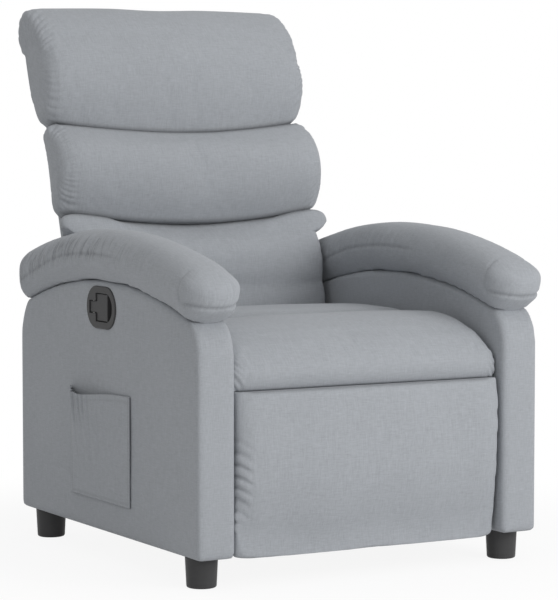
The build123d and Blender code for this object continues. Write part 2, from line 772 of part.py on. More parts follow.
def roll_section(pull):
    """Side view of the seat's front roll: full nose, crowned top, sewn groove behind."""
    deck = seat_deck()
    drop = SEAT_EDGE_DROP * pull * 2
    draw = SEAT_SIDE_DRAW * pull
    groove = SEAT_GROOVE - SEAT_GROOVE_GAP
    nose_low = (SEAT_FRONT + ROLL_NOSE_LOW + draw, deck)
    nose = (SEAT_FRONT + draw, blend(deck, ROLL_NOSE_Z, 0.5))
    nose_high = (SEAT_FRONT + ROLL_NOSE_HIGH + draw, ROLL_NOSE_Z - drop / 2)
    brow = (SEAT_FRONT + ROLL_BROW + draw, ROLL_TOP - ROLL_BROW_DROP - drop)
    shoulder = (SEAT_FRONT + ROLL_SHOULDER, ROLL_TOP - ROLL_SHOULDER_DROP - drop)
    groove_top = (groove, ROLL_TOP - SEAT_GROOVE_DEPTH - drop)
    return closed(
        Line((groove, deck), nose_low),
        ThreePointArc(nose_low, nose, nose_high),
        ThreePointArc(nose_high, brow, shoulder),
        ThreePointArc(shoulder, (SEAT_FRONT + ROLL_CREST, ROLL_TOP - drop), groove_top),
        Line(groove_top, (groove, deck)),
    )


def seat_section(pull):
    """Side view of the rear seat cushion: crowned, sloping rear face along the back."""
    deck = seat_deck()
    drop = SEAT_EDGE_DROP * pull * 2
    groove = SEAT_GROOVE + SEAT_GROOVE_GAP
    rear_low = back_line(deck, LOWER_FRONT + SEAT_BACK_GAP)
    rear_high = back_line(SEAT_REAR_TOP - SEAT_REAR_ROUND - drop, LOWER_FRONT + SEAT_BACK_GAP)
    rear_top = (rear_high[0] - SEAT_REAR_ROUND, SEAT_REAR_TOP - drop)
    rear_arc = (rear_high[0] - SEAT_REAR_ROUND / 4, SEAT_REAR_TOP - SEAT_REAR_ROUND / 3 - drop)
    crest = (blend(groove, rear_top[0], SEAT_CREST_SHARE), SEAT_TOP - drop)
    groove_top = (groove, SEAT_TOP - SEAT_GROOVE_DEPTH - drop)
    return closed(
        Line((groove, deck), groove_top),
        ThreePointArc(groove_top, crest, rear_top),
        ThreePointArc(rear_top, rear_arc, rear_high),
        Line(rear_high, rear_low),
        Line(rear_low, (groove, deck)),
    )


# Back

def back_point(along, forward):
    """A place on the back: along it from the hinge, and forward of the frame's rear face."""
    lean = math.radians(BACK_LEAN)
    ahead = forward - HINGE_DEPTH
    y = HINGE[0] + along * math.sin(lean) - ahead * math.cos(lean)
    z = HINGE[1] + along * math.cos(lean) + ahead * math.sin(lean)
    return (y, z)


def back_line(height, forward):
    """The place at a given height on a line parallel to the back."""
    low = back_point(0, forward)
    return (low[0] + (height - low[1]) * math.tan(math.radians(BACK_LEAN)), height)


def back_face(*places):
    """Straight-sided outline on the back, from (along, forward) places."""
    return polygon(*[back_point(*place) for place in places])


def back_block(x0, x1, along0, along1, forward0, forward1):
    """Square-cornered piece that leans with the back."""
    outline = back_face((along0, forward0), (along1, forward0), (along1, forward1), (along0, forward1))
    return slab(outline, x0, x1)


def post_outer():
    """Outer face of a back post, on the inside of its bracket."""
    return layer_inner(BACK_LAYER)


def bolt_places():
    """Bolts that hold a back bracket to its post."""
    return [back_point(along, BACK_FRAME / 2) for along in BACK_BOLTS_AT]


def back_post():
    """Timber post of the back."""
    outer = post_outer()
    post = back_block(outer - BACK_POST, outer, POST_BOTTOM, POST_TOP, 0, BACK_FRAME)
    for centre in bolt_places():
        post -= rod(outer - BACK_POST, outer, centre, SCREW_D)
    return post


def back_bracket():
    """Steel bracket from the hinge up the side of the back post."""
    middle = BACK_FRAME / 2
    outline = hull(
        (HINGE, LINK_WIDTH * 1.3), (DRIVE_TOP, LINK_WIDTH),
        (back_point(POST_BOTTOM + middle, middle), BACK_FRAME), (back_point(BRACKET_TOP, middle), BACK_FRAME),
    )
    holes = [free(HINGE), tight(DRIVE_TOP)]
    holes += [(centre, SCREW_D) for centre in bolt_places()]
    return plate(BACK_LAYER, outline, holes)


def back_bolt(centre):
    """Bolt through a bracket and its post."""
    outer = layer_outer(BACK_LAYER)
    inner = post_outer() - BACK_POST
    return rod(inner, outer, centre, SCREW_D) + rod(outer, outer + RIVET_HEAD, centre, SCREW_HEAD_D)


def back_rail(along):
    """Timber rail between the back posts."""
    half = post_outer() - BACK_POST
    return back_block(-half, half, along, along + BACK_RAIL, 0, BACK_FRAME)


def back_strap(along):
    """Elastic webbing strap across the front of the posts."""
    half = post_outer()
    return back_block(-half, half, along, along + STRAP_WIDTH, BACK_FRAME, BACK_FRAME + STRAP)


def back_panel():
    """Cloth-covered rear panel with side flanges that wrap the posts."""
    half = post_outer()
    panel = back_block(-half, half, POST_BOTTOM, POST_TOP, -PANEL, 0)
    side = back_block(half, half + PANEL_SIDE, PANEL_SIDE_BOTTOM, POST_TOP, -PANEL, BACK_FRAME)
    for flange in pair(side):
        panel += flange
    return panel


def backing():
    """Room that the pillows leave for the frame, the straps and the rear panel."""
    half = post_outer() + PANEL_SIDE + FIT
    return back_block(-half, half, 0, POST_TOP + FIT, -PANEL - FIT, BACK_FRAME + STRAP + FIT)


def pillow_face(corners, crests):
    """Closed outline on the back: arcs between corners, each through its crest."""
    edges = []
    for number, crest in enumerate(crests):
        start = back_point(*corners[number])
        end = back_point(*corners[(number + 1) % len(corners)])
        if crest is None:
            edges.append(Line(start, end))
        else:
            edges.append(ThreePointArc(start, back_point(*crest), end))
    return closed(*edges)


def pillow_rear():
    """Rear face of the pillows, just ahead of the webbing."""
    return BACK_FRAME + STRAP + FIT


def lower_half():
    """Half the width of the lower pillow, which sits between the back brackets."""
    return post_outer() - LOWER_CLEARANCE


def lower_section(pull):
    """Side view of the lower pillow: upright at the seat, swelling under its top seam."""
    rear = pillow_rear()
    low = PILLOW_BOTTOM
    draw = LOWER_DRAW * pull
    high = LOWER_SEAM - PILLOW_GAP - draw
    front = LOWER_FRONT - draw
    corners = [
        (low + SEAM_ROLL, rear), (high - SEAM_ROLL, rear), (high, SEAM_DEPTH - draw),
        (low + LOWER_WAIST, front + SEAM_ROLL), (low + SEAM_ROLL, front - 2 * SEAM_ARCH),
    ]
    crests = [
        None, (high - SEAM_ARCH, blend(rear, SEAM_DEPTH, 0.5)),
        (high - LOWER_BULGE_DROP, LOWER_BULGE - 1.5 * draw),
        (low + LOWER_WAIST / 2, front), (low, blend(rear, LOWER_FRONT, 0.5)),
    ]
    return pillow_face(corners, crests)


def lower_pillow():
    """Pillow at the waist: narrow between the arms, with shoulders that rest above the arm pads."""
    pillow = stuffed(SHOULDER_WIDTH / 2, lower_section, 8)
    shoulder = LOWER_SEAM - SHOULDER_HEIGHT
    beside = back_block(lower_half(), SHOULDER_WIDTH, 0, shoulder, 0, 2 * LOWER_BULGE)
    for side in pair(beside):
        pillow -= side
    return pillow


def middle_section(pull):
    """Side view of the middle pillow: a full bulge between two seams."""
    rear = blend(pillow_rear(), MIDDLE_END_REAR, pull)
    draw = MIDDLE_DRAW * pull
    low = LOWER_SEAM + PILLOW_GAP + draw
    high = UPPER_SEAM - PILLOW_GAP - draw
    seam = SEAM_DEPTH + SEAM_ARCH * pull
    corners = [(low + SEAM_ROLL, rear), (high - SEAM_ROLL, rear), (high, seam), (low, seam)]
    front = (blend(low, high, 0.47), blend(MIDDLE_BULGE, MIDDLE_END_BULGE, pull))
    crests = [
        None, (high - SEAM_ARCH, blend(rear, seam, 0.5)), front, (low + SEAM_ARCH, blend(rear, seam, 0.5)),
    ]
    return pillow_face(corners, crests)


def head_section(pull):
    """Side view of the head pillow: bulges low, rolls back over the top of the frame and round its sides."""
    rear = blend(pillow_rear(), HEAD_END_LOW, pull)
    behind = blend(-PANEL, HEAD_END_REAR, pull)
    draw = HEAD_DRAW * pull
    low = UPPER_SEAM + PILLOW_GAP + draw
    top = PILLOW_TOP - draw
    swell = UPPER_SEAM + HEAD_BULGE_UP
    ledge = POST_TOP + FIT
    seam = SEAM_DEPTH - 0.3 * draw
    bulge = HEAD_BULGE - 1.2 * draw
    corners = [
        (low + SEAM_ROLL, rear), (ledge, behind), (top - SEAM_ROLL / 2, SEAM_ARCH + 0.8 * draw),
        (top - 1.3 * SEAM_ROLL, 2 * HEAD_CREST - SEAM_ARCH - 0.2 * draw),
        (swell, bulge - SEAM_ARCH), (low, seam),
    ]
    crests = [
        None, (blend(ledge, top, 0.59), blend(-HEAD_REAR, HEAD_END_REAR, pull)),
        (top, HEAD_CREST + 0.3 * draw), (blend(swell, top, 0.54), 3 * HEAD_CREST - 0.7 * draw),
        (blend(low, swell, 0.47), bulge - SEAM_ARCH / 2), (low + SEAM_ARCH, blend(rear, seam, 0.5)),
    ]
    return pillow_face(corners, crests)


# Footrest

def footrest_section(pull):
    """Side view of the footrest pad: crowned front, rolled top and bottom edges."""
    draw = FOOTREST_DRAW * pull
    top = FOOTREST_TOP - draw / 2
    low = FOOTREST_BOTTOM + draw / 2
    rear = FOOTREST_PAD
    edge = FOOTREST_EDGE
    corners = [(rear, low + edge), (rear, top - edge), (draw, top - edge), (draw + edge, low + 1.6 * edge)]
    return closed(
        Line(corners[0], corners[1]),
        ThreePointArc(corners[1], (rear / 2, top), corners[2]),
        ThreePointArc(corners[2], (draw * 1.5 - FOOTREST_BULGE, blend(low, top, 0.55)), corners[3]),
        ThreePointArc(corners[3], (rear / 2 + edge / 2, low), corners[0]),
    )


def board_rear():
    """Rear face of the footrest board."""
    return FOOTREST_PAD + FIT + FOOTREST_BOARD


def footrest_board():
    """Plywood board behind the footrest pad."""
    half = INNER_HALF - BOARD_SIDE_MARGIN
    return block(-half, half, FOOTREST_PAD + FIT, board_rear(), FOOTREST_BOTTOM + BOARD_MARGIN,
                 FOOTREST_TOP - BOARD_MARGIN)


def footrest_bracket():
    """Steel angle on the board that carries the two link pins."""
    rear = board_rear()
    low = CROSS_END[1] - LINK_WIDTH
    high = FOOTREST_TOP - BOARD_MARGIN
    half = LINK_WIDTH / 2
    web = hull((CROSS_END, LINK_WIDTH), (PARALLEL_TOP, LINK_WIDTH)) + polygon(
        (rear, low), add(CROSS_END, (0, -half)), add(PARALLEL_TOP, (0, half)), (rear, high))
    angle = plate(LIFT_LAYER, web, [tight(CROSS_END), tight(PARALLEL_TOP)])
    inner = layer_inner(LIFT_LAYER)
    return angle + block(inner, inner + BRACKET_FLANGE, rear, rear + PLATE, low, high)


def lift_link():
    """Driving link of the footrest, with an ear for the torque tube."""
    ear = tube_place()
    outline = bar(LIFT_PIVOT, LIFT_END) + hull(
        (blend(LIFT_PIVOT, LIFT_END, TUBE_ALONG), LINK_WIDTH), (ear, TUBE_EAR * 2))
    return plate(LIFT_LAYER, outline, [free(LIFT_PIVOT), tight(LIFT_END), tight(PARALLEL_FOOT), (ear, TUBE_D)])


def tube_place():
    """Centre of the torque tube, behind the lift links."""
    foot_of = blend(LIFT_PIVOT, LIFT_END, TUBE_ALONG)
    span = math.dist(LIFT_PIVOT, LIFT_END)
    rearward = ((LIFT_PIVOT[1] - LIFT_END[1]) / span, (LIFT_END[0] - LIFT_PIVOT[0]) / span)
    return add(foot_of, rearward, TUBE_OFFSET)


def torque_tube():
    """Tube that makes the left and right lift links move as one."""
    half = layer_outer(LIFT_LAYER)
    return rod(-half, half, tube_place(), TUBE_D) - rod(-half, half, tube_place(), TUBE_D - 2 * TUBE_WALL)


def build():
    """Every piece of the chair, by name."""
    nodes = {}

    cover = arm_cover()
    nodes["left_arm_cover"] = [cover]
    nodes["right_arm_cover"] = [on_right(cover - handle_clearance() - cable_hole())]
    frame = arm_frame()
    nodes["left_arm_frame"] = frame
    nodes["right_arm_frame"] = [on_right(piece - handle_notch()) for piece in frame]
    nodes["left_arm_pad"], nodes["right_arm_pad"] = [[pad] for pad in pair(arm_pad())]
    nodes["side_pocket"] = [side_pocket()]
    nodes["handle_bezel"] = [on_right(handle_bezel())]
    nodes["release_paddle"] = [on_right(release_paddle())]
    nodes["paddle_pin"] = [on_right(paddle_pin(PADDLE_PIN_D))]
    nodes["paddle_spring"] = [on_right(paddle_spring())]
    nodes["release_cable"] = [on_right(release_cable())]
    for end, y in zip(("front", "rear"), foot_centres()):
        nodes[f"{end}_left_foot"] = [foot(ARM_MIDDLE, y)]
        nodes[f"{end}_right_foot"] = [foot(-ARM_MIDDLE, y)]
    nodes["foot_studs"] = foot_studs()

    side = base_plate()
    nodes["left_base_plate"] = [side]
    nodes["right_base_plate"] = [on_right(side - cable_hole())]
    nodes["front_cross_rail"] = [cross_rail(FRONT_RAIL_Y)]
    nodes["rear_cross_rail"] = [cross_rail(REAR_RAIL_Y)]
    nodes["base_bolts"] = base_bolts()
    nodes["base_rivets"] = []
    for pivot in (FRONT_SWING_FOOT, REAR_SWING_FOOT, DRIVE_FOOT):
        nodes["base_rivets"] += pair(rivet(pivot, BASE_LAYER, SWING_LAYER))
    nodes["front_swing_links"] = pair(swing_link(FRONT_SWING_FOOT, FRONT_SWING_TOP))
    nodes["front_swing_rivets"] = pair(rivet(FRONT_SWING_TOP, SWING_LAYER, SEAT_LAYER))
    nodes["rear_swing_links"] = pair(swing_link(REAR_SWING_FOOT, REAR_SWING_TOP))
    nodes["rear_swing_rivets"] = pair(rivet(REAR_SWING_TOP, SWING_LAYER, SEAT_LAYER))

    nodes["left_seat_plate"], nodes["right_seat_plate"] = [[piece] for piece in pair(seat_plate())]
    nodes["seat_side_rails"] = pair(seat_side_rail())
    nodes["seat_front_rail"] = [seat_cross_rail(SEAT_FRAME_FRONT)]
    nodes["seat_rear_rail"] = [seat_cross_rail(SEAT_FRAME_REAR - SEAT_CROSS_STOCK)]
    nodes["seat_screws"] = []
    for y in SEAT_SCREWS:
        nodes["seat_screws"] += pair(seat_screw(y))
    nodes["seat_springs"] = seat_springs()
    nodes["seat_front_roll"] = [stuffed(INNER_HALF, roll_section, 8)]
    nodes["seat_cushion"] = [stuffed(INNER_HALF, seat_section, 8)]
    nodes["seat_rivets"] = pair(rivet(LIFT_PIVOT, SEAT_LAYER, LIFT_LAYER))
    nodes["seat_rivets"] += pair(rivet(CONTROL_PIVOT, SEAT_LAYER, CONTROL_LAYER))
    nodes["seat_rivets"] += pair(rivet(HINGE, SEAT_LAYER, BACK_LAYER))

    nodes["back_posts"] = pair(back_post())
    nodes["back_brackets"] = pair(back_bracket())
    nodes["back_bolts"] = []
    for centre in bolt_places():
        nodes["back_bolts"] += pair(back_bolt(centre))
    nodes["back_rivets"] = pair(rivet(DRIVE_TOP, BACK_LAYER, SWING_LAYER))
    nodes["back_cross_rails"] = [back_rail(along) for along in BACK_RAILS_AT]
    nodes["back_webbing"] = [back_strap(along) for along in STRAPS_AT]
    nodes["back_panel"] = [back_panel()]
    nodes["lower_pillow"] = [lower_pillow()]
    nodes["middle_pillow"] = [stuffed(PILLOW_WIDTH / 2, middle_section, 4) - backing()]
    nodes["head_pillow"] = [stuffed(PILLOW_WIDTH / 2, head_section, 4) - backing()]
    drive = plate(SWING_LAYER, bar(DRIVE_FOOT, DRIVE_TOP), [free(DRIVE_FOOT), free(DRIVE_TOP, DRIVE_PLAY)])
    nodes["back_drive_links"] = pair(drive)

    nodes["lift_links"] = pair(lift_link())
    nodes["lift_rivets"] = pair(rivet(LIFT_END, LIFT_LAYER, CROSS_LAYER))
    nodes["lift_rivets"] += pair(rivet(PARALLEL_FOOT, LIFT_LAYER, PARALLEL_LAYER))
    nodes["torque_tube"] = [torque_tube()]
    cross_holes = [tight(CONTROL_END), free(LIFT_END), free(CROSS_END)]
    cross = plate(CROSS_LAYER, bar(CONTROL_END, CROSS_END), cross_holes)
    nodes["cross_links"] = pair(cross)
    nodes["cross_rivets"] = pair(rivet(CONTROL_END, CROSS_LAYER, CONTROL_LAYER))
    control = plate(CONTROL_LAYER, bar(CONTROL_PIVOT, CONTROL_END),
                    [free(CONTROL_PIVOT), free(CONTROL_END, CONTROL_PLAY)])
    nodes["control_links"] = pair(control)
    parallel_holes = [free(PARALLEL_FOOT), free(PARALLEL_TOP)]
    parallel = plate(PARALLEL_LAYER, bar(PARALLEL_FOOT, PARALLEL_TOP), parallel_holes)
    nodes["parallel_links"] = pair(parallel)
    nodes["footrest_brackets"] = pair(footrest_bracket())
    nodes["footrest_rivets"] = pair(rivet(CROSS_END, LIFT_LAYER, CROSS_LAYER))
    nodes["footrest_rivets"] += pair(rivet(PARALLEL_TOP, LIFT_LAYER, PARALLEL_LAYER))
    nodes["footrest_board"] = [footrest_board()]
    nodes["footrest_pad"] = [stuffed(INNER_HALF, footrest_section, 8)]
    return nodes


def gather(pieces):
    """One shape that holds all the solids of a node."""
    solids = []
    for piece in pieces:
        solids += piece.solids()
    return solids[0] if len(solids) == 1 else Compound(solids)


NODES = {name: gather(pieces) for name, pieces in build().items()}
EXTENT = Compound(list(NODES.values())).bounding_box()
FRONT_TO_CENTRE = -(EXTENT.min.Y + EXTENT.max.Y) / 2

if __name__ == "__main__":
    os.makedirs("parts", exist_ok=True)
    for name, shape in NODES.items():
        export_step(Pos(0, FRONT_TO_CENTRE, 0) * shape, f"parts/{name}.step")
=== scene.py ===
import json
import math

import bmesh
import bpy
import numpy as np
from bpy.props import FloatProperty, FloatVectorProperty, IntProperty, PointerProperty
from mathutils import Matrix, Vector


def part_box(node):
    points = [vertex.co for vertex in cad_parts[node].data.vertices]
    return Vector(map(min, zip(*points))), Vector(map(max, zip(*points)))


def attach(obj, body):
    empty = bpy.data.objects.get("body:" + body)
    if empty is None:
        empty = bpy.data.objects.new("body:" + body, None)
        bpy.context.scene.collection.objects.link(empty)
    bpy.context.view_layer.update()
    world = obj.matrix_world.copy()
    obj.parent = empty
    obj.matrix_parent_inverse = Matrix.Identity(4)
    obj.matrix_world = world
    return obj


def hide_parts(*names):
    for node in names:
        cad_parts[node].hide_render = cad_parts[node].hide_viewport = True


bl_info = {
    "name": "Upholstered Recliner",
    "version": (1, 0, 0),
    "blender": (4, 5, 0),
    "location": "3D View > Sidebar > Recliner",
    "description": "Cushions, covers, finishes and studio for a reclining armchair",
    "category": "Object",
}

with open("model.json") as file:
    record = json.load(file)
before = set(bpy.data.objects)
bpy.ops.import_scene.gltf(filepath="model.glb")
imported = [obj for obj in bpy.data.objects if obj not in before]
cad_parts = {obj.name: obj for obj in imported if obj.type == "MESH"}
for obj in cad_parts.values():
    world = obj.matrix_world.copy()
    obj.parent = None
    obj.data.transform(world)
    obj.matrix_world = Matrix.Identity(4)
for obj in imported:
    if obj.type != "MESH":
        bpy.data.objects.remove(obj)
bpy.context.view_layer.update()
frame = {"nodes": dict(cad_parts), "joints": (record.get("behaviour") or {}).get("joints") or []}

# Places on the chair, read from the frame. Y runs from front to rear, X across, Z up.
ARM_LOW, ARM_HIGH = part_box("left_arm_cover")
FRONT = ARM_LOW.y
REAR = ARM_HIGH.y
ARM_DEPTH = REAR - FRONT
ARM_INNER = ARM_LOW.x
ARM_OUTER = ARM_HIGH.x
ARM_MIDDLE = (ARM_INNER + ARM_OUTER) / 2
ARM_FOOT = ARM_LOW.z
ARM_CROWN = ARM_HIGH.z
PAD_LOW, PAD_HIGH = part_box("left_arm_pad")
SEAT_LOW, SEAT_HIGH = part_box("seat_front_roll")
CUSHION_LOW, CUSHION_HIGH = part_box("seat_cushion")
SEAT_GROOVE = (SEAT_HIGH.y + CUSHION_LOW.y) / 2
REST_LOW, REST_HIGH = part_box("footrest_pad")
POCKET_LOW, POCKET_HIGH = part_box("side_pocket")
HINGE = Vector(next(j["pos_m"] for j in frame["joints"] if j["name"] == "back_tilt"))

# The back leans; places on it are (x, distance up from the hinge, depth forward of its rear face).
BACK_LEAN = math.radians(17.5)
HINGE_DEPTH = 0.050
LOWER_SEAM = 0.297
UPPER_SEAM = 0.483
PILLOW_TOP = 0.740
PILLOW_HALF = 0.290
MIDDLE_HALF = PILLOW_HALF + 0.003
PILLOW_REAR = 0.0262

# Gathered ends of a pillow: its half length, and the height and depth that the gathers run round
HEAD_ENDS = (PILLOW_HALF, 0.60, 0.055)
MIDDLE_ENDS = (MIDDLE_HALF, 0.39, 0.09)

# Seams between the pillows: height, sag in the middle of the chair, reach of the sag up and down
SEAM_SAGS = ((UPPER_SEAM, 0.028, 0.12), (LOWER_SEAM, 0.030, 0.13))

# Upper outer corners of the lower pillow. The filled cover reaches SHOULDER_NARROW at their root; the
# corner is a blunt ball round SHOULDER_MIDDLE with its own half size above, below, ahead and behind.
SHOULDER_NARROW = 0.246
SHOULDER_ROOT = 0.260
SHOULDER_END = 0.2955
SHOULDER_MIDDLE = Vector((0.200, 0.266, 0.098))
SHOULDER_ABOVE = 0.031
SHOULDER_BELOW = 0.075
SHOULDER_UNDERCUT = 0.057
SHOULDER_AHEAD = 0.022
SHOULDER_BEHIND = 0.042
SHOULDER_BLUNTNESS = 2.4

# Side view of an arm: heights of its straight front and rear edges and of its shoulders, and its corners
ARM_STRAIGHT = 0.402
ARM_REAR_STRAIGHT = 0.385
ARM_SHOULDER = 0.463
ARM_FRONT_ROUND = 0.029
ARM_REAR_ROUND = 0.033
ARM_HEEL = 0.012

# Side view of the seat's top along its middle: distance behind the arms' front, height
ROLL_TOP = (
    (0.105, 0.4455), (0.125, 0.4500), (0.145, 0.4530), (0.165, 0.4548), (0.185, 0.4556), (0.205, 0.4554),
    (0.225, 0.4547), (0.245, 0.4534), (0.262, 0.4516), (0.274, 0.4495), (0.283, 0.4460), (0.288, 0.4410),
)
CUSHION_TOP = (
    (0.288, 0.4410), (0.294, 0.4490), (0.302, 0.4528), (0.314, 0.4548), (0.330, 0.4555), (0.360, 0.4550),
    (0.400, 0.4540), (0.440, 0.4526), (0.480, 0.4508), (0.520, 0.4486), (0.560, 0.4450), (0.585, 0.4380),
)

# Painted shade in the groove across the seat, on the roll and on the cushion behind it: strength, width
ROLL_SHADE = (0.40, 0.050)
CUSHION_SHADE = (0.65, 0.020)

# How cushions meet: the push toward a neighbour, the gap left there, and the seat's nose, which hangs
# over the footrest down to the pleat between them; the pleat's painted shade fades toward the arms
PRESS = 0.009
SEAM_ROOM = 0.0004
NOSE_DROP = 0.008
PLEAT = SEAT_LOW.z - NOSE_DROP
PLEAT_SHADE = 0.6
PLEAT_WIDTH = 0.003
PLEAT_FADE = (0.86, 0.94)

# Each stuffed cushion with the furthest that a point of its cover may move while it is being filled
CUSHIONS = {
    "head_pillow": 0.024,
    "middle_pillow": 0.024,
    "lower_pillow": 0.006,
    "seat_front_roll": 0.006,
    "seat_cushion": 0.005,
    "left_arm_pad": 0.022,
    "right_arm_pad": 0.022,
}
COVER_END = "_cover"
DRAW_IN = 0.004
WELD = 1e-5

# Where a cover is tacked: held up to the first value and free past the second. They are depth on the
# back, distance from a pillow's seam, and height for the end tucked behind the seat and for the seat.
REAR_TACKS = (0.026, 0.044)
SEAM_TACKS = (0.004, 0.020)
TUCK_TACKS = (0.44, 0.50)
SEAT_TACKS = (SEAT_LOW.z + 0.008, SEAT_LOW.z + 0.050)

# The head pillow's cover is tight above this height, and a pad's where it sits on its arm
HEAD_TIGHT = 0.655
PAD_GRIP_HALF = 0.042
PAD_GRIP_RISE = 0.012

# How the cloth of a cover behaves while it is being filled
COVER_CLOTH = {
    "quality": 4,
    "mass": 0.3,
    "tension_stiffness": 12,
    "compression_stiffness": 12,
    "shear_stiffness": 4,
    "bending_stiffness": 0.4,
    "air_damping": 2,
    "use_pressure": True,
    "vertex_group_mass": "sewn",
}


class FabricLook(bpy.types.PropertyGroup):
    """Cloth of the covers."""

    colour: FloatVectorProperty(
        name="Cloth colour", description="Mean colour of the woven cloth",
        subtype="COLOR", size=3, min=0.0, max=1.0, default=(0.372, 0.390, 0.416),
    )
    thread: FloatProperty(
        name="Thread pitch", description="Distance between neighbouring threads of the weave",
        unit="LENGTH", default=0.0011, min=0.0003,
    )
    slub: FloatProperty(
        name="Slub contrast",
        description="How far thick and thin stretches of thread differ from the mean colour",
        subtype="FACTOR", default=0.16, min=0.0, max=1.0,
    )
    streak_fine: FloatProperty(
        name="Streak fineness", description="Number of slub streaks to a metre across the thread",
        default=560.0, min=1.0,
    )
    streak_long: FloatProperty(
        name="Streak repeat", description="Number of slub streaks to a metre along the thread",
        default=62.0, min=1.0,
    )
    pucker: FloatProperty(
        name="Pucker count", description="Number of fine puckers to a metre of gathered cloth",
        default=70.0, min=1.0,
    )
    # Painted shade: how far the colour is darkened where the seam attribute is 1
    painted_seam_shade: FloatProperty(
        name="Seam shade", description="How dark the cloth is in the bottom of a seam",
        subtype="FACTOR", default=0.55, min=0.0, max=1.0,
    )


class StuffingLook(bpy.types.PropertyGroup):
    """How the cushions are filled."""

    grid: FloatProperty(
        name="Cloth grid", description="Mesh size of a cover while it is being filled",
        unit="LENGTH", default=0.006, min=0.003,
    )
    pressure: FloatProperty(
        name="Pressure", description="Pressure of the filling",
        default=4.0, min=0.0,
    )
    spare: FloatProperty(
        name="Spare cloth", description="Share by which a cover's cloth is larger than the cover as cut",
        subtype="FACTOR", default=0.006, min=0.0, max=0.2,
    )
    steps: IntProperty(
        name="Steps", description="Number of steps in which a cover is filled",
        default=20, min=2,
    )


class SeamLook(bpy.types.PropertyGroup):
    """How the covers are sewn."""

    groove: FloatProperty(
        name="Seam depth", description="How far a seam is drawn in",
        unit="LENGTH", default=0.0035, min=0.0,
    )
    width: FloatProperty(
        name="Seam width", description="Width of the valley along a seam",
        unit="LENGTH", default=0.0045, min=0.001,
    )
    gather: FloatProperty(
        name="Gather depth", description="Height of the gathers on the back pillows and arm pads",
        unit="LENGTH", default=0.0024, min=0.0,
    )
    pitch: FloatProperty(
        name="Gather pitch", description="Mean distance between these gathers",
        unit="LENGTH", default=0.016, min=0.004,
    )


class FinishLook(bpy.types.PropertyGroup):
    """Colours of the hard parts."""

    plastic: FloatVectorProperty(
        name="Plastic colour", description="Moulded handle and feet",
        subtype="COLOR", size=3, default=(0.060, 0.060, 0.061),
    )
    timber: FloatVectorProperty(
        name="Timber colour", description="Sawn softwood of the frames",
        subtype="COLOR", size=3, default=(0.52, 0.35, 0.19),
    )
    steel: FloatVectorProperty(
        name="Coated steel colour", description="Powder-coated plates and links",
        subtype="COLOR", size=3, default=(0.030, 0.030, 0.032),
    )
    zinc: FloatVectorProperty(
        name="Plated steel colour", description="Rivets, bolts and springs",
        subtype="COLOR", size=3, default=(0.60, 0.60, 0.58),
    )


class StudioLook(bpy.types.PropertyGroup):
    """Camera and light."""

    lens: FloatProperty(
        name="Lens", description="Focal length of the camera in millimetres",
        default=154.2, min=10.0,
    )
    place: FloatVectorProperty(
        name="Camera place", description="Where the camera stands",
        subtype="XYZ", unit="LENGTH", size=3, default=(-2.3553, -4.3071, 0.8095),
    )
    turn: FloatVectorProperty(
        name="Camera turn", description="How the camera is turned",
        subtype="EULER", unit="ROTATION", size=3,
        default=(math.radians(85.976), 0.0, math.radians(-29.298)),
    )
    key: FloatProperty(
        name="Key light", description="Power of the large front light",
        unit="POWER", default=94.0, min=0.0,
    )
    sky: FloatProperty(
        name="Room light", description="Strength of the even light from all round",
        default=0.535, min=0.0,
    )
    floor: FloatVectorProperty(
        name="Floor colour", description="Colour of the studio floor",
        subtype="COLOR", size=3, default=(0.86, 0.86, 0.86),
    )


# Shader building blocks


class Wire:
    """A shader socket that can be used in sums; each sum adds its nodes to the socket's tree."""

    def __init__(self, socket):
        self.socket = socket

    @staticmethod
    def make(tree, kind, settings=None, inputs=None, output=0):
        """Adds a node: its settings first, then values or links for its sockets. Returns one output."""
        node = tree.nodes.new(kind)
        for name, value in (settings or {}).items():
            setattr(node, name, value)
        for name, value in (inputs or {}).items():
            if isinstance(value, Wire):
                tree.links.new(value.socket, node.inputs[name])
            else:
                node.inputs[name].default_value = value
        return Wire(node.outputs[output])

    def math(self, operation, *terms):
        """A Math node on these terms."""
        inputs = dict(enumerate(terms))
        return Wire.make(self.socket.id_data, "ShaderNodeMath", {"operation": operation}, inputs)

    def __add__(self, other):
        return self.math("ADD", self, other)

    def __radd__(self, other):
        return self.math("ADD", other, self)

    def __sub__(self, other):
        return self.math("SUBTRACT", self, other)

    def __rsub__(self, other):
        return self.math("SUBTRACT", other, self)

    def __mul__(self, other):
        return self.math("MULTIPLY", self, other)

    def __rmul__(self, other):
        return self.math("MULTIPLY", other, self)

    def __abs__(self):
        return self.math("ABSOLUTE", self)

    def sine(self):
        """Sine of this value."""
        return self.math("SINE", self)

    def root(self):
        """Square root of this value."""
        return self.math("SQRT", self)

    def at_most(self, limit):
        """This value or the limit, whichever is less."""
        return self.math("MINIMUM", self, limit)

    def step(self, low, high):
        """0 below low, 1 above high, smooth between them."""
        settings = {"interpolation_type": "SMOOTHSTEP"}
        inputs = {"Value": self, "From Min": low, "From Max": high}
        return Wire.make(self.socket.id_data, "ShaderNodeMapRange", settings, inputs)


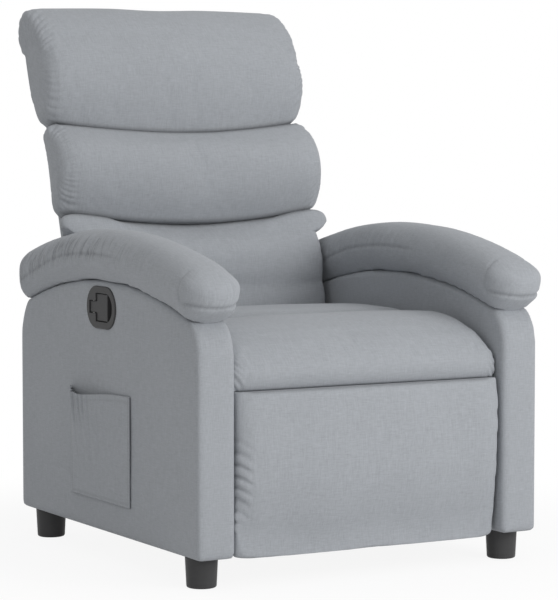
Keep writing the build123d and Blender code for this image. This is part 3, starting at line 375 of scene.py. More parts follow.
class Finish:
    """One material under construction."""

    def __init__(self, name, **constants):
        self.material = bpy.data.materials.new(name)
        self.material.use_nodes = True
        self.tree = self.material.node_tree
        self.surface = self.tree.nodes["Principled BSDF"]
        for socket, value in constants.items():
            self.surface.inputs[socket.replace("_", " ")].default_value = value

    def make(self, kind, settings=None, inputs=None, output=0):
        """Adds a node to this material."""
        return Wire.make(self.tree, kind, settings, inputs, output)

    def place(self, turn=(0.0, 0.0, 0.0), scale=(1.0, 1.0, 1.0)):
        """Object coordinates, turned and scaled."""
        here = self.make("ShaderNodeTexCoord", output="Object")
        return self.make("ShaderNodeMapping", None, {"Vector": here, "Rotation": turn, "Scale": scale})

    def parts(self, vector):
        """The three parts of a vector."""
        split = self.make("ShaderNodeSeparateXYZ", None, {"Vector": vector})
        return [Wire(socket) for socket in split.socket.node.outputs]

    def join(self, x, y, z):
        """A vector from three values."""
        return self.make("ShaderNodeCombineXYZ", None, {"X": x, "Y": y, "Z": z})

    def stored(self, name):
        """A value that the mesh keeps at each point."""
        return self.make("ShaderNodeAttribute", {"attribute_name": name}, output="Fac")

    def noise(self, vector, scale=1.0, detail=2.0, rough=0.5):
        """Noise between 0 and 1."""
        inputs = {"Vector": vector, "Scale": scale, "Detail": detail, "Roughness": rough}
        return self.make("ShaderNodeTexNoise", None, inputs)

    def tint(self, factor, low, high):
        """A colour between two colours."""
        inputs = {0: factor, 6: (*low, 1.0), 7: (*high, 1.0)}
        return self.make("ShaderNodeMix", {"data_type": "RGBA"}, inputs, output=2)

    def bump(self, height, strength, distance):
        """Surface relief from a height."""
        inputs = {"Height": height, "Strength": strength, "Distance": distance}
        self.link("Normal", self.make("ShaderNodeBump", None, inputs))

    def link(self, name, wire):
        """Feeds one socket of the surface."""
        self.tree.links.new(wire.socket, self.surface.inputs[name])


def scaled(colour, share):
    """A colour made lighter or darker."""
    return tuple(min(1.0, part * share) for part in colour)


def woven_cloth(name, lean=0.0):
    """Plain-weave upholstery cloth with slubs, soft sheen and painted shade in its seams and puckers; lean
    turns the weave.
    """
    look = bpy.context.scene.recliner_fabric
    # Slub and patch tones are the cloth's own; the weave's tone is partly its pattern and partly painted
    # light on the thread tops; the puckers' tone is painted shade
    slub_tone, patch_tone, weave_tone_and_top_light, pucker_painted_shade = look.slub * 4, 0.08, 0.04, 0.19
    weave_high, slub_high, pucker_high = 0.0002, 0.0007, 0.0022
    pucker_rate, pucker_slant, pucker_sharp = 11, 0.12, 0.07
    cloth = Finish(name, Sheen_Weight=0.10, Sheen_Roughness=0.5, Specular_IOR_Level=0.2)
    here = cloth.place(turn=(lean, 0.0, 0.0))
    x, y, z = cloth.parts(here)
    facing = cloth.make("ShaderNodeTexCoord", output="Normal")
    side = abs(cloth.parts(facing)[0]).step(0.55, 0.8)

    def streaks(across, ahead, upward):
        """Slubs with so many streaks to a metre in each direction."""
        return cloth.noise(cloth.join(x * across, y * ahead, z * upward), rough=0.6)

    fine, long = look.streak_fine, look.streak_long
    on_front = streaks(long, fine, fine) + streaks(fine, long, long)
    on_side = streaks(fine, long, fine) + streaks(fine, fine, long)
    slubs = (on_front + side * (on_side - on_front)) * 0.5
    patch = cloth.noise(here, scale=5.0)

    turn = math.pi / look.thread
    warp_front = (x * turn).sine()
    warp = warp_front + side * ((y * turn).sine() - warp_front)
    weft_front = ((y + z) * turn).sine()
    weft = weft_front + side * ((z * turn).sine() - weft_front)
    # The weave, also used as relief; in the colour it is partly the weave's pattern and partly painted
    # light on the raised thread tops
    weave = warp * weft

    # The seam attribute darkens the colour as painted shade in seams, grooves, pleats and fold valleys
    seam = cloth.stored("seam")
    ruche = cloth.stored("ruche")
    # Thin pucker lines where the cloth is ruched: painted shade in their valleys, and relief
    across_pucker = (y + z * pucker_slant) * look.pucker
    lines = cloth.noise(cloth.join(x * pucker_rate, across_pucker, z * pucker_rate), detail=1.5)
    puckers = abs(lines - 0.5).step(0.0, pucker_sharp)
    tone = 1 + (slubs - 0.5) * slub_tone + (patch - 0.5) * patch_tone + weave * weave_tone_and_top_light
    shade = tone * (1 - seam * look.painted_seam_shade) * (1 - ruche * (1 - puckers) * pucker_painted_shade)
    grey = cloth.make("ShaderNodeCombineColor", None, {"Red": shade, "Green": shade, "Blue": shade})
    dyed = cloth.make(
        "ShaderNodeMix", {"data_type": "RGBA", "blend_type": "MULTIPLY"},
        {0: 1.0, 6: (*look.colour, 1.0), 7: grey}, output=2,
    )
    cloth.link("Base Color", dyed)
    cloth.link("Roughness", 0.84 + (slubs - 0.5) * 0.25)
    relief = weave * weave_high + slubs * slub_high + ruche * puckers * pucker_high
    cloth.bump(relief, strength=0.6, distance=1.0)
    return cloth.material


def moulded_plastic():
    """Satin black plastic with a fine moulded grain."""
    colour = bpy.context.scene.recliner_finish.plastic
    plastic = Finish("moulded_plastic", Specular_IOR_Level=0.15)
    here = plastic.place()
    grain = plastic.noise(here, scale=1400.0)
    cloud = plastic.noise(here, scale=26.0, detail=3.0)
    rub = plastic.noise(plastic.place(scale=(60, 60, 240)), detail=4.0, rough=0.6)
    wear = cloud * 0.7 + rub * 0.3
    plastic.link("Base Color", plastic.tint(wear, scaled(colour, 0.8), scaled(colour, 1.3)))
    plastic.link("Roughness", 0.42 + cloud * 0.12 + rub * 0.08)
    plastic.bump(grain, strength=0.35, distance=0.0003)
    return plastic.material


def sawn_timber():
    """Softwood with growth rings and pores."""
    colour = bpy.context.scene.recliner_finish.timber
    timber = Finish("sawn_timber", Specular_IOR_Level=0.3)
    x, y, z = timber.parts(timber.place())
    sway = timber.noise(timber.join(x * 3, y * 14, z * 14), detail=3.0)
    rings = ((y * 90 + z * 130 + sway * 16) * 4.2).sine() * 0.5 + 0.5
    pores = timber.noise(timber.join(x * 40, y * 900, z * 900))
    grain = rings * 0.55 + pores * 0.35
    timber.link("Base Color", timber.tint(grain, scaled(colour, 1.15), scaled(colour, 0.62)))
    timber.link("Roughness", 0.6 + pores * 0.25)
    timber.bump(pores + rings * 0.4, strength=0.35, distance=0.0005)
    return timber.material


def coated_steel():
    """Powder coat with a slight orange-peel skin."""
    colour = bpy.context.scene.recliner_finish.steel
    steel = Finish("coated_steel", Specular_IOR_Level=0.5)
    here = steel.place()
    peel = steel.noise(here, scale=420.0)
    cloud = steel.noise(here, scale=18.0, detail=3.0)
    steel.link("Base Color", steel.tint(cloud, scaled(colour, 0.75), scaled(colour, 1.4)))
    steel.link("Roughness", 0.34 + cloud * 0.16 + peel * 0.06)
    steel.bump(peel, strength=0.3, distance=0.0004)
    return steel.material


def plated_steel():
    """Zinc plate, brushed and a little dulled."""
    colour = bpy.context.scene.recliner_finish.zinc
    zinc = Finish("plated_steel", Metallic=1.0)
    brushed = zinc.noise(zinc.place(scale=(900, 60, 900)), detail=3.0, rough=0.6)
    cloud = zinc.noise(zinc.place(), scale=45.0, detail=3.0)
    zinc.link("Base Color", zinc.tint(cloud, scaled(colour, 0.78), scaled(colour, 1.12)))
    zinc.link("Roughness", 0.26 + brushed * 0.18 + cloud * 0.1)
    zinc.bump(brushed, strength=0.2, distance=0.0002)
    return zinc.material


def elastic_webbing():
    """Ribbed black webbing."""
    dark, pale = (0.010, 0.010, 0.011), (0.055, 0.055, 0.058)
    tape = Finish("elastic_webbing", Specular_IOR_Level=0.25, Sheen_Weight=0.1)
    here = tape.place(turn=(BACK_LEAN, 0.0, 0.0))
    x, _, z = tape.parts(here)
    ribs = (z * 2400).sine() * 0.5 + 0.5
    bars = (x * 1500).sine() * 0.5 + 0.5
    fuzz = tape.noise(here, scale=700.0)
    tape.link("Base Color", tape.tint(ribs * 0.5 + bars * 0.3 + fuzz * 0.2, dark, pale))
    tape.link("Roughness", 0.75 + fuzz * 0.2)
    tape.bump(ribs * 0.6 + bars * 0.4, strength=0.6, distance=0.0005)
    return tape.material


def cable_jacket():
    """Smooth extruded cable sheath."""
    dark, pale = (0.014, 0.014, 0.015), (0.034, 0.034, 0.036)
    jacket = Finish("cable_jacket", Specular_IOR_Level=0.45)
    streak = jacket.noise(jacket.place(scale=(300, 300, 22)), detail=3.0)
    jacket.link("Base Color", jacket.tint(streak, dark, pale))
    jacket.link("Roughness", 0.38 + streak * 0.16)
    jacket.bump(streak, strength=0.15, distance=0.0002)
    return jacket.material


# Mesh building blocks


def points_of(mesh):
    """Vertex places as an array."""
    flat = np.empty(len(mesh.vertices) * 3)
    mesh.vertices.foreach_get("co", flat)
    return flat.reshape(-1, 3)


def normals_of(mesh):
    """Vertex normals as an array."""
    flat = np.empty(len(mesh.vertices) * 3, np.float32)
    mesh.vertex_normals.foreach_get("vector", flat)
    return flat.reshape(-1, 3).astype(float)


def lifted(mesh, places, lift):
    """Places moved along the normals of a mesh."""
    return places + normals_of(mesh) * lift[:, None]


def move_points(mesh, places):
    """Sets the vertex places of a mesh."""
    mesh.vertices.foreach_set("co", np.ascontiguousarray(places, np.float32).ravel())
    mesh.update()


def new_piece(name, mesh):
    """An object for a mesh, at the origin."""
    piece = bpy.data.objects.new(name, mesh)
    bpy.context.scene.collection.objects.link(piece)
    return piece


def baked(piece):
    """The mesh of a piece with its modifiers applied."""
    bpy.context.view_layer.update()
    graph = bpy.context.evaluated_depsgraph_get()
    return bpy.data.meshes.new_from_object(piece.evaluated_get(graph), depsgraph=graph)


def settle(piece):
    """Applies the modifiers of a piece."""
    mesh = baked(piece)
    piece.modifiers.clear()
    piece.data = mesh
    return piece


def merged(node):
    """A copy of a solid's mesh with its loose triangles joined."""
    shape = bmesh.new()
    shape.from_mesh(frame["nodes"][node].data)
    bmesh.ops.remove_doubles(shape, verts=shape.verts, dist=WELD)
    return shape


def to_mesh(shape, name):
    """A finished bmesh as a mesh."""
    mesh = bpy.data.meshes.new(name)
    shape.to_mesh(mesh)
    shape.free()
    return mesh


def relax(mesh, rounds, share):
    """Evens out a mesh."""
    shape = bmesh.new()
    shape.from_mesh(mesh)
    for _ in range(rounds):
        bmesh.ops.smooth_vert(
            shape, verts=shape.verts, factor=share, use_axis_x=True, use_axis_y=True, use_axis_z=True
        )
    shape.to_mesh(mesh)
    shape.free()
    mesh.update()


def even_grid(node, name):
    """A copy of a solid with an even grid of small faces."""
    piece = new_piece(name, to_mesh(merged(node), name))
    grid = piece.modifiers.new("Grid", "REMESH")
    grid.mode = "VOXEL"
    grid.voxel_size = bpy.context.scene.recliner_stuffing.grid
    settle(piece)
    relax(piece.data, rounds=4, share=0.5)
    return piece


def finer(piece, rounds):
    """Evens out a piece and subdivides it for good."""
    relax(piece.data, rounds, share=0.4)
    smooth = piece.modifiers.new("Finer", "SUBSURF")
    smooth.levels = 1
    smooth.render_levels = 1
    return settle(piece)


def store(mesh, name, values):
    """Keeps a value from 0 to 1 at each point for the cloth: seam is painted shade, ruche is gathering,
    with painted shade along its puckers.
    """
    attribute = mesh.attributes.new(name, "FLOAT", "POINT")
    attribute.data.foreach_set("value", np.clip(values, 0, 1).astype(np.float32))


def dress(piece, material, body, node):
    """Gives a piece its cloth, smooth shading and its body, and hides the solid that it stands for."""
    mesh = piece.data
    mesh.materials.clear()
    mesh.materials.append(material)
    mesh.polygons.foreach_set("use_smooth", np.ones(len(mesh.polygons), bool))
    mesh.update()
    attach(piece, body)
    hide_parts(node)


# Numbers that follow the surface


def ramp(value, low, high):
    """0 below low, 1 above high, smooth between."""
    t = np.clip((value - low) / (high - low), 0, 1)
    return t * t * (3 - 2 * t)


def hump(value, centre, width):
    """1 at the centre, falling to 0 like a bell."""
    return np.exp(-(((value - centre) / width) ** 2))


def gathers(along, seed):
    """Irregular ridges of unit pitch, from 0 to 1: each has its own height and place of its peak."""
    chance = np.random.default_rng(seed)
    count, lowest, jitter = 256, 0.25, 0.35
    height = chance.uniform(lowest, 1.0, count)
    shift = chance.uniform(-jitter, jitter, count)
    cell = np.floor(along).astype(int) % count
    inside = along - np.floor(along)
    peak = 0.5 + shift[cell] * 0.5
    low = np.clip(inside / peak, 0, 1)
    high = np.clip((1 - inside) / (1 - peak), 0, 1)
    rise = np.where(inside < peak, low, high)
    return height[cell] * (1 - (0.5 + 0.5 * np.cos(np.pi * rise)) ** 2)


def drift(places, scale, seed):
    """Slow unevenness, mostly between -1 and 1: seven waves in chance directions."""
    chance = np.random.default_rng(seed)
    total = np.zeros(len(places))
    for _ in range(7):
        direction = chance.normal(size=3)
        direction /= np.linalg.norm(direction)
        pace = chance.uniform(0.6, 1.6) * 2 * np.pi / scale
        total += np.sin(places @ direction * pace + chance.uniform(0, 2 * np.pi))
    return total / 4


def on_back(places):
    """Places as (x, up the back from the hinge, forward of its rear face)."""
    sine, cosine = math.sin(BACK_LEAN), math.cos(BACK_LEAN)
    y = places[:, 1] - HINGE.y
    z = places[:, 2] - HINGE.z
    return places[:, 0].copy(), y * sine + z * cosine, HINGE_DEPTH - y * cosine + z * sine


def from_back(x, up, deep):
    """The reverse of on_back."""
    sine, cosine = math.sin(BACK_LEAN), math.cos(BACK_LEAN)
    ahead = deep - HINGE_DEPTH
    y = HINGE.y + up * sine - ahead * cosine
    z = HINGE.z + up * cosine + ahead * sine
    return np.stack([x, y, z], axis=1)


def arch(y):
    """Height of an arm's top at a distance from its front."""
    middle = ARM_DEPTH / 2
    half = middle - (ARM_FRONT_ROUND + ARM_REAR_ROUND) / 2
    rise = ARM_CROWN - ARM_SHOULDER
    radius = (half * half + rise * rise) / (2 * rise)
    bow = ARM_CROWN - radius + np.sqrt(np.maximum(radius**2 - (y - middle) ** 2, 0))
    front = np.clip(1 - y / ARM_FRONT_ROUND, 0, 1)
    rear = np.clip(1 - (ARM_DEPTH - y) / ARM_REAR_ROUND, 0, 1)
    drop_front = (ARM_SHOULDER - ARM_STRAIGHT) * (1 - np.sqrt(np.maximum(1 - front**2, 0)))
    drop_rear = (ARM_SHOULDER - ARM_REAR_STRAIGHT) * (1 - np.sqrt(np.maximum(1 - rear**2, 0)))
    return bow - drop_front - drop_rear


def press(value, wall, side, push=PRESS):
    """Pushes the points near a wall to it and flattens them; side is +1 below the wall, -1 above it."""
    gap = (wall - value) * side
    value = value + side * push * hump(np.maximum(gap, 0), 0, 2.5 * push)
    return np.minimum(value, wall) if side > 0 else np.maximum(value, wall)


def square_ends(x, half):
    """Stretches a cushion to a half length and keeps its front flat nearly to its ends."""
    x = x * half / np.abs(x).max()
    reach = np.abs(x) / half
    return np.sign(x) * half * (reach + (np.sqrt(reach) - reach) * ramp(reach, 0.35, 0.75))


def pleat_shade(height, wall, outward):
    """Painted shade of the pleat between the seat's nose and the footrest, at a height near its wall."""
    return PLEAT_SHADE * hump(height, wall, PLEAT_WIDTH) * (1 - ramp(outward, *PLEAT_FADE))


# Cutting and filling the cushions


def sewn_share(node, places):
    """1 where a cover is sewn or tacked to its frame, 0 where it may swell."""
    x, up, deep = on_back(places)
    height = places[:, 2]
    off_rear = ramp(deep, *REAR_TACKS)
    if node == "head_pillow":
        loose = np.minimum(off_rear * (up < HEAD_TIGHT), ramp(up - UPPER_SEAM, *SEAM_TACKS))
    elif node == "middle_pillow":
        edge = np.minimum(up - LOWER_SEAM, UPPER_SEAM - up)
        loose = np.minimum(off_rear, ramp(edge, *SEAM_TACKS))
    elif node == "lower_pillow":
        off_seam = ramp(LOWER_SEAM - up, *SEAM_TACKS)
        loose = np.minimum(np.minimum(off_rear, off_seam), ramp(height, *TUCK_TACKS))
    elif node in ("seat_front_roll", "seat_cushion"):
        loose = ramp(height, *SEAT_TACKS)
    else:
        over_arm = np.abs(np.abs(x) - ARM_MIDDLE) < PAD_GRIP_HALF
        low = height < arch(places[:, 1] - FRONT) + PAD_GRIP_RISE
        loose = 1.0 - (over_arm & low)
    return 1 - loose


def cut_cover(node):
    """A closed cover with an even grid, drawn in a little where it may swell."""
    least_pin = 0.01
    cover = even_grid(node, node + COVER_END)
    places = points_of(cover.data)
    sewn = sewn_share(node, places)
    move_points(cover.data, lifted(cover.data, places, -DRAW_IN * (1 - sewn)))
    pins = cover.vertex_groups.new(name="sewn")
    for index, weight in enumerate(sewn):
        if weight > least_pin:
            pins.add([index], float(weight), "REPLACE")
    return cover


def fill_covers(covers):
    """Fills the covers together by cloth simulation, and keeps the result."""
    scene = bpy.context.scene
    look = scene.recliner_stuffing
    for cover in covers:
        cloth = cover.modifiers.new("Filling", "CLOTH")
        for setting, value in COVER_CLOTH.items():
            setattr(cloth.settings, setting, value)
        cloth.settings.uniform_pressure_force = look.pressure
        cloth.settings.shrink_min = -look.spare
        cloth.settings.effector_weights.gravity = 0.0
        cloth.collision_settings.use_collision = False
        cloth.point_cache.frame_start = 1
        cloth.point_cache.frame_end = look.steps
    for step in range(1, look.steps + 1):
        scene.frame_set(step)
    swollen = [points_of(baked(cover)) for cover in covers]
    scene.frame_set(1)
    for cover, moved in zip(covers, swollen):
        cover.modifiers.clear()
        flat = points_of(cover.data)
        swell = moved - flat
        length = np.linalg.norm(swell, axis=1, keepdims=True)
        reach = CUSHIONS[cover.name.removesuffix(COVER_END)]
        move_points(cover.data, flat + swell * np.minimum(1, reach / np.maximum(length, 1e-9)))


def filled(node, name, rounds=2):
    """The filled cover of a cushion, evened out, made finer and ready for its seams."""
    cover = bpy.data.objects[node + COVER_END]
    cover.vertex_groups.clear()
    cover.name = name
    cover.data.name = name
    return finer(cover, rounds)


class RECLINER_OT_cut_covers(bpy.types.Operator):
    """Cut and fill the covers of all stuffed cushions"""

    bl_idname = "recliner.cut_covers"
    bl_label = "Cut and Fill Covers"

    def execute(self, context):
        covers = [cut_cover(node) for node in CUSHIONS]
        fill_covers(covers)
        return {"FINISHED"}


def seen_directly(tree):
    """1 for rays from the camera and for mirrored and refracted ones, 0 for those that only light."""
    path = Wire.make(tree, "ShaderNodeLightPath", output="Is Camera Ray")
    glossy = Wire(path.socket.node.outputs["Is Glossy Ray"])
    through = Wire(path.socket.node.outputs["Is Transmission Ray"])
    return (path + glossy + through).at_most(1.0)


class RECLINER_OT_stage(bpy.types.Operator):
    """Set up the floor, the light and the camera"""

    bl_idname = "recliner.stage"
    bl_label = "Studio"

    def execute(self, context):
        look = context.scene.recliner_studio
        context.scene.view_settings.view_transform = "Standard"
        self.floor(look)
        self.world(look)
        self.lamps(look)
        camera = bpy.data.objects.new("camera", bpy.data.cameras.new("camera"))
        camera.data.lens = look.lens
        camera.data.sensor_width = 36.0
        camera.location = look.place
        camera.rotation_euler = look.turn
        context.scene.collection.objects.link(camera)
        context.scene.camera = camera
        return {"FINISHED"}

    def floor(self, look):
        """A pale disc that fades into the white of the room."""
        white_near, fade_from, fade_to = 0.90, 0.5, 1.1
        shape = bmesh.new()
        bmesh.ops.create_circle(shape, cap_ends=True, segments=96, radius=9.0)
        bmesh.ops.recalc_face_normals(shape, faces=shape.faces)
        floor = new_piece("studio_floor", to_mesh(shape, "studio_floor"))
        finish = Finish("studio_floor", Roughness=0.9, Specular_IOR_Level=0.0)
        finish.surface.inputs["Base Color"].default_value = (*look.floor, 1.0)
        x, y, _ = finish.parts(finish.place())
        reach = (x * x + y * y).root()
        white = finish.make("ShaderNodeEmission", None, {"Strength": 1.0})
        fade = white_near + reach.step(fade_from, fade_to) * (1.0 - white_near)
        lit = Wire(finish.surface.outputs[0])
        blend = {0: seen_directly(finish.tree) * fade, 1: lit, 2: white}
        mix = finish.make("ShaderNodeMixShader", None, blend)
        output = finish.tree.nodes["Material Output"]
        finish.tree.links.new(mix.socket, output.inputs["Surface"])
        floor.data.materials.append(finish.material)

    def world(self, look):
        """Even light, and plain white where the room itself is seen."""
        world = bpy.data.worlds.new("studio")
        bpy.context.scene.world = world
        world.use_nodes = True
        tree = world.node_tree
        strength = look.sky + seen_directly(tree) * (1.0 - look.sky)
        background = tree.nodes["Background"]
        background.inputs["Color"].default_value = (1.0, 1.0, 1.0, 1.0)
        tree.links.new(strength.socket, background.inputs["Strength"])

    def lamps(self, look):
        """One large soft light from the front right and a weak one from above."""
        chair = Vector((0.0, 0.0, 0.5))
        for name, place, size, power in (
            ("key", (1.7, -4.0, 2.1), 2.4, look.key),
            ("top", (0.2, -0.4, 3.4), 2.6, look.key * 0.11),
        ):
            lamp = bpy.data.lights.new(name, "AREA")
            lamp.energy = power
            lamp.size = size
            holder = bpy.data.objects.new(name, lamp)
            holder.location = place
            aim = chair - Vector(place)
            holder.rotation_euler = aim.to_track_quat("-Z", "Y").to_euler()
            bpy.context.scene.collection.objects.link(holder)


class RECLINER_OT_hard_parts(bpy.types.Operator):
    """Finish the plastic, timber, steel, webbing and cable"""

    bl_idname = "recliner.hard_parts"
    bl_label = "Hard Parts"

    def execute(self, context):
        finishes = {
            "black_plastic": moulded_plastic(),
            "timber": sawn_timber(),
            "black_steel": coated_steel(),
            "bright_steel": plated_steel(),
            "webbing": elastic_webbing(),
            "cable_sheath": cable_jacket(),
        }
        for node in frame["nodes"].values():
            for slot in node.material_slots:
                name = slot.material.name.split(".")[0] if slot.material else ""
                for key, material in finishes.items():
                    if name.endswith(key):
                        slot.material = material
        return {"FINISHED"}


def end_gathers(x, up, deep, ends, seed):
    """Gathers where the front of a pillow is sewn to its rounded ends, and the painted shade of the seam
    there.
    """
    look = bpy.context.scene.recliner_seams
    half, middle_up, middle_deep = ends
    inset, mean_radius, slant = 0.016, 0.105, 0.45
    first_ridge, other_end, level = 40, 17, 0.45
    outer_spread, inner_spread = 0.022, 0.016
    draw_share, shade = 0.2, 0.05
    outward = np.abs(x)
    seam_at = half - inset
    turn = np.arctan2(deep - middle_deep, up - middle_up)
    reach = ramp(np.hypot(deep - middle_deep, up - middle_up), 0.03, 0.06)
    along = (turn * mean_radius + (outward - seam_at) * slant * np.sign(x)) / look.pitch
    ridges = gathers(along + first_ridge + other_end * (x > 0), seed)
    near = hump(outward, seam_at, np.where(outward > seam_at, outer_spread, inner_spread)) * reach
    seam = hump(outward, seam_at, look.width) * reach
    # The second value is painted shade along the end seam
    return near * (ridges - level) * look.gather - seam * look.groove * draw_share, seam * shade


def seam_dip(x, up):
    """How far the seams between the pillows sag toward the middle of the chair."""
    bow = np.clip(1 - (x / PILLOW_HALF) ** 2, 0, 1)
    return bow * sum(
        sag * np.clip(1 - ((up - seam) / reach) ** 2, 0, 1) ** 2 for seam, sag, reach in SEAM_SAGS
    )


def round_shoulders(x, up, deep):
    """Fills out the upper corners of the lower pillow, which reach out over the arm pads."""
    narrow, root, end, middle = SHOULDER_NARROW, SHOULDER_ROOT, SHOULDER_END, SHOULDER_MIDDLE
    smallest, root_blend = 0.2, 0.006
    outward = np.abs(x)
    beyond = root + (outward - narrow) * (end - root) / (outward.max() - narrow)
    outward = np.where(outward < narrow, outward * root / narrow, beyond)
    away = np.stack([np.maximum(outward - middle.x, 0), up - middle.y, deep - middle.z])
    below = SHOULDER_BELOW - SHOULDER_UNDERCUT * ramp(outward, 0.23, 0.272)
    tall = np.where(away[1] > 0, SHOULDER_ABOVE, below)
    thick = np.where(away[2] > 0, SHOULDER_AHEAD, SHOULDER_BEHIND)
    half = np.stack([np.full(len(x), end - middle.x), tall, thick])
    size = (np.abs(away / half) ** SHOULDER_BLUNTNESS).sum(0) ** (1 / SHOULDER_BLUNTNESS)
    swell = 1 / np.maximum(size, smallest) - 1
    inside = ramp(outward, 0.08, 0.275)
    outside = ramp(outward, root, root + root_blend)
    away *= np.where(swell > 0, inside, outside) * swell
    return np.sign(x) * (outward + away[0]), up + away[1], deep + away[2]


def head_form(x, up, deep):
    """The head pillow: square ends, its full height and a slightly hollow top edge."""
    hollow, hollow_from = 0.005, 0.64
    x = square_ends(x, PILLOW_HALF)
    up = UPPER_SEAM + (up - UPPER_SEAM) * (PILLOW_TOP - UPPER_SEAM) / (up.max() - UPPER_SEAM)
    return x, up - hollow * (1 - (x / PILLOW_HALF) ** 2) * ramp(up, hollow_from, PILLOW_TOP), deep


def middle_form(x, up, deep):
    """The middle pillow: square ends, a little longer in front and shorter at the rear."""
    longer = 0.012 * ramp(deep, 0.07, 0.12)
    shorter = 0.045 * (1 - ramp(deep, 0.015, 0.085))
    return square_ends(x, MIDDLE_HALF) * (1 + longer - shorter), up, deep


def lower_form(x, up, deep):
    """The lower pillow: round shoulders, and fuller in front toward the seat."""
    x, up, deep = round_shoulders(x, up, deep)
    fuller = (1 - ramp(up, 0.10, 0.24)) * ramp(deep, 0.05, 0.09)
    return x, up, deep + 0.007 * fuller


class RECLINER_OT_back_pillows(bpy.types.Operator):
    """Sew the three pillows of the back"""

    bl_idname = "recliner.back_pillows"
    bl_label = "Back Pillows"

    def execute(self, context):
        cloth = woven_cloth("back_cloth", -BACK_LEAN)
        for node, name, form, walls, ends, seed in (
            ("head_pillow", "head_cushion", head_form, (UPPER_SEAM, None), HEAD_ENDS, 3),
            ("middle_pillow", "middle_cushion", middle_form, (LOWER_SEAM, UPPER_SEAM), MIDDLE_ENDS, 5),
            ("lower_pillow", "lower_cushion", lower_form, (None, LOWER_SEAM), None, 8),
        ):
            piece = filled(node, name)
            store(piece.data, "seam", self.sewing(piece.data, form, walls, ends, seed))
            dress(piece, cloth, "back", node)
        return {"FINISHED"}

    def sewing(self, mesh, form, walls, ends, seed):
        """Forms a pillow, gathers its ends and presses it to its seams. Returns the painted shade of the
        seams.
        """
        uneven, uneven_scale = 0.0012, 0.16
        wall_shade, wall_width = 0.8, 0.005
        places = points_of(mesh)
        lift = uneven * drift(places, uneven_scale, seed)
        x, up, deep = form(*on_back(places))
        move_points(mesh, from_back(x, up, deep))
        seam = np.zeros(len(x))
        if ends:
            gather, seam = end_gathers(x, up, deep, ends, seed)
            lift += gather
        x, up, deep = on_back(lifted(mesh, points_of(mesh), lift))
        on_panel = 1 - ramp(up, 0.63, 0.65)
        deep = deep + on_panel * (press(deep, PILLOW_REAR, -1, 1.4 * PRESS) - deep)
        squarer_rear = PRESS * (2 - ramp(deep, 0.03, 0.08))
        for wall, side in zip(walls, (-1, 1)):
            if wall is not None:
                wall = wall - side * SEAM_ROOM
                up = press(up, wall, side, squarer_rear)
                # Painted shade along the seam where the pillow meets its neighbour
                seam = np.maximum(seam, wall_shade * hump(up, wall, wall_width))
        move_points(mesh, from_back(x, up - seam_dip(x, up), deep))
        return seam


def top_line(places, rows):
    """Height of a cushion's top along its middle, row by row."""
    middle_half, row_half = 0.15, 0.007
    middle = np.abs(places[:, 0]) < middle_half
    behind = places[:, 1] - FRONT
    return np.array([places[middle & (np.abs(behind - row) < row_half), 2].max() for row in rows])


class RECLINER_OT_seat(bpy.types.Operator):
    """Sew the front roll and the rear cushion of the seat"""

    bl_idname = "recliner.seat"
    bl_label = "Seat Cushions"

    def execute(self, context):
        cloth = woven_cloth("seat_cloth")
        for node, name, side, top, profile, shade, seed in (
            ("seat_front_roll", "seat_roll", 1, SEAT_HIGH.z, ROLL_TOP, ROLL_SHADE, 21),
            ("seat_cushion", "seat_pad", -1, CUSHION_HIGH.z, CUSHION_TOP, CUSHION_SHADE, 22),
        ):
            piece = filled(node, name)
            store(piece.data, "seam", self.sewing(piece.data, side, top, profile, shade, seed))
            dress(piece, cloth, "seat", node)
        return {"FINISHED"}

    def corner_gathers(self, places, outward, behind, seed):
        """Gathers at the lower front corners, where the roll is sewn to its ends."""
        depth, pitch, slant, first_ridge, level = 0.0055, 0.011, 0.4, 30, 0.4
        low = 1 - ramp(places[:, 2], SEAT_LOW.z + 0.01, SEAT_LOW.z + 0.06)
        ridges = gathers((places[:, 2] + places[:, 0] * slant) / pitch + first_ridge, seed)
        gathered = low * ramp(outward, 0.80, 0.93) * (1 - ramp(behind, 0.03, 0.08))
        return depth * gathered * (ridges - level)

    def sewing(self, mesh, side, top, profile, shade, seed):
        """Forms a cushion that ends at the cross groove; side is +1 for the one in front of it.
        Returns the painted shade of the seams."""
        uneven, uneven_scale = 0.0014, 0.2
        spare_side, below_top, flank = 0.0012, 0.002, 0.05
        groove_shade, groove_width = 0.8, 0.004
        valley_shade, valley_width = shade
        nose_blend = 0.03
        places = points_of(mesh)
        outward = np.abs(places[:, 0]) / SEAT_HIGH.x
        behind = places[:, 1] - FRONT
        lift = uneven * drift(places, uneven_scale, seed)
        lift += self.corner_gathers(places, outward, behind, seed)
        places = lifted(mesh, places, lift)
        places[:, 0] = square_ends(places[:, 0], SEAT_HIGH.x + spare_side)

        base = SEAT_LOW.z + flank
        above = np.maximum(places[:, 2] - base, 0)
        places[:, 2] += above * ((top - below_top - base) / above.max() - 1)
        rows, heights = np.transpose(profile)
        change = np.interp(places[:, 1] - FRONT, rows, heights - top_line(places, rows))
        places[:, 2] += change * ramp(above, 0.02, 0.04)

        wall = SEAT_GROOVE - side * SEAM_ROOM
        places[:, 1] = press(places[:, 1], wall, side)
        # Painted shade in the groove and on the slopes of the cushions beside it
        valley = valley_shade * hump(places[:, 1], wall, valley_width) * ramp(above, 0.02, 0.06)
        seam = groove_shade * hump(places[:, 1], wall, groove_width) + valley

        nose = 1 - ramp(behind, 0.05, 0.085)
        lowest = PLEAT + SEAM_ROOM
        drawn = press(places[:, 2], lowest, -1)
        dropped = drawn - NOSE_DROP * (1 - ramp(drawn, PLEAT, PLEAT + nose_blend))
        places[:, 2] += nose * (np.maximum(dropped, lowest) - places[:, 2])
        move_points(mesh, places)
        # Painted shade of the seams, and of the pleat under the nose
        return np.maximum(seam, nose * pleat_shade(places[:, 2], PLEAT, outward))


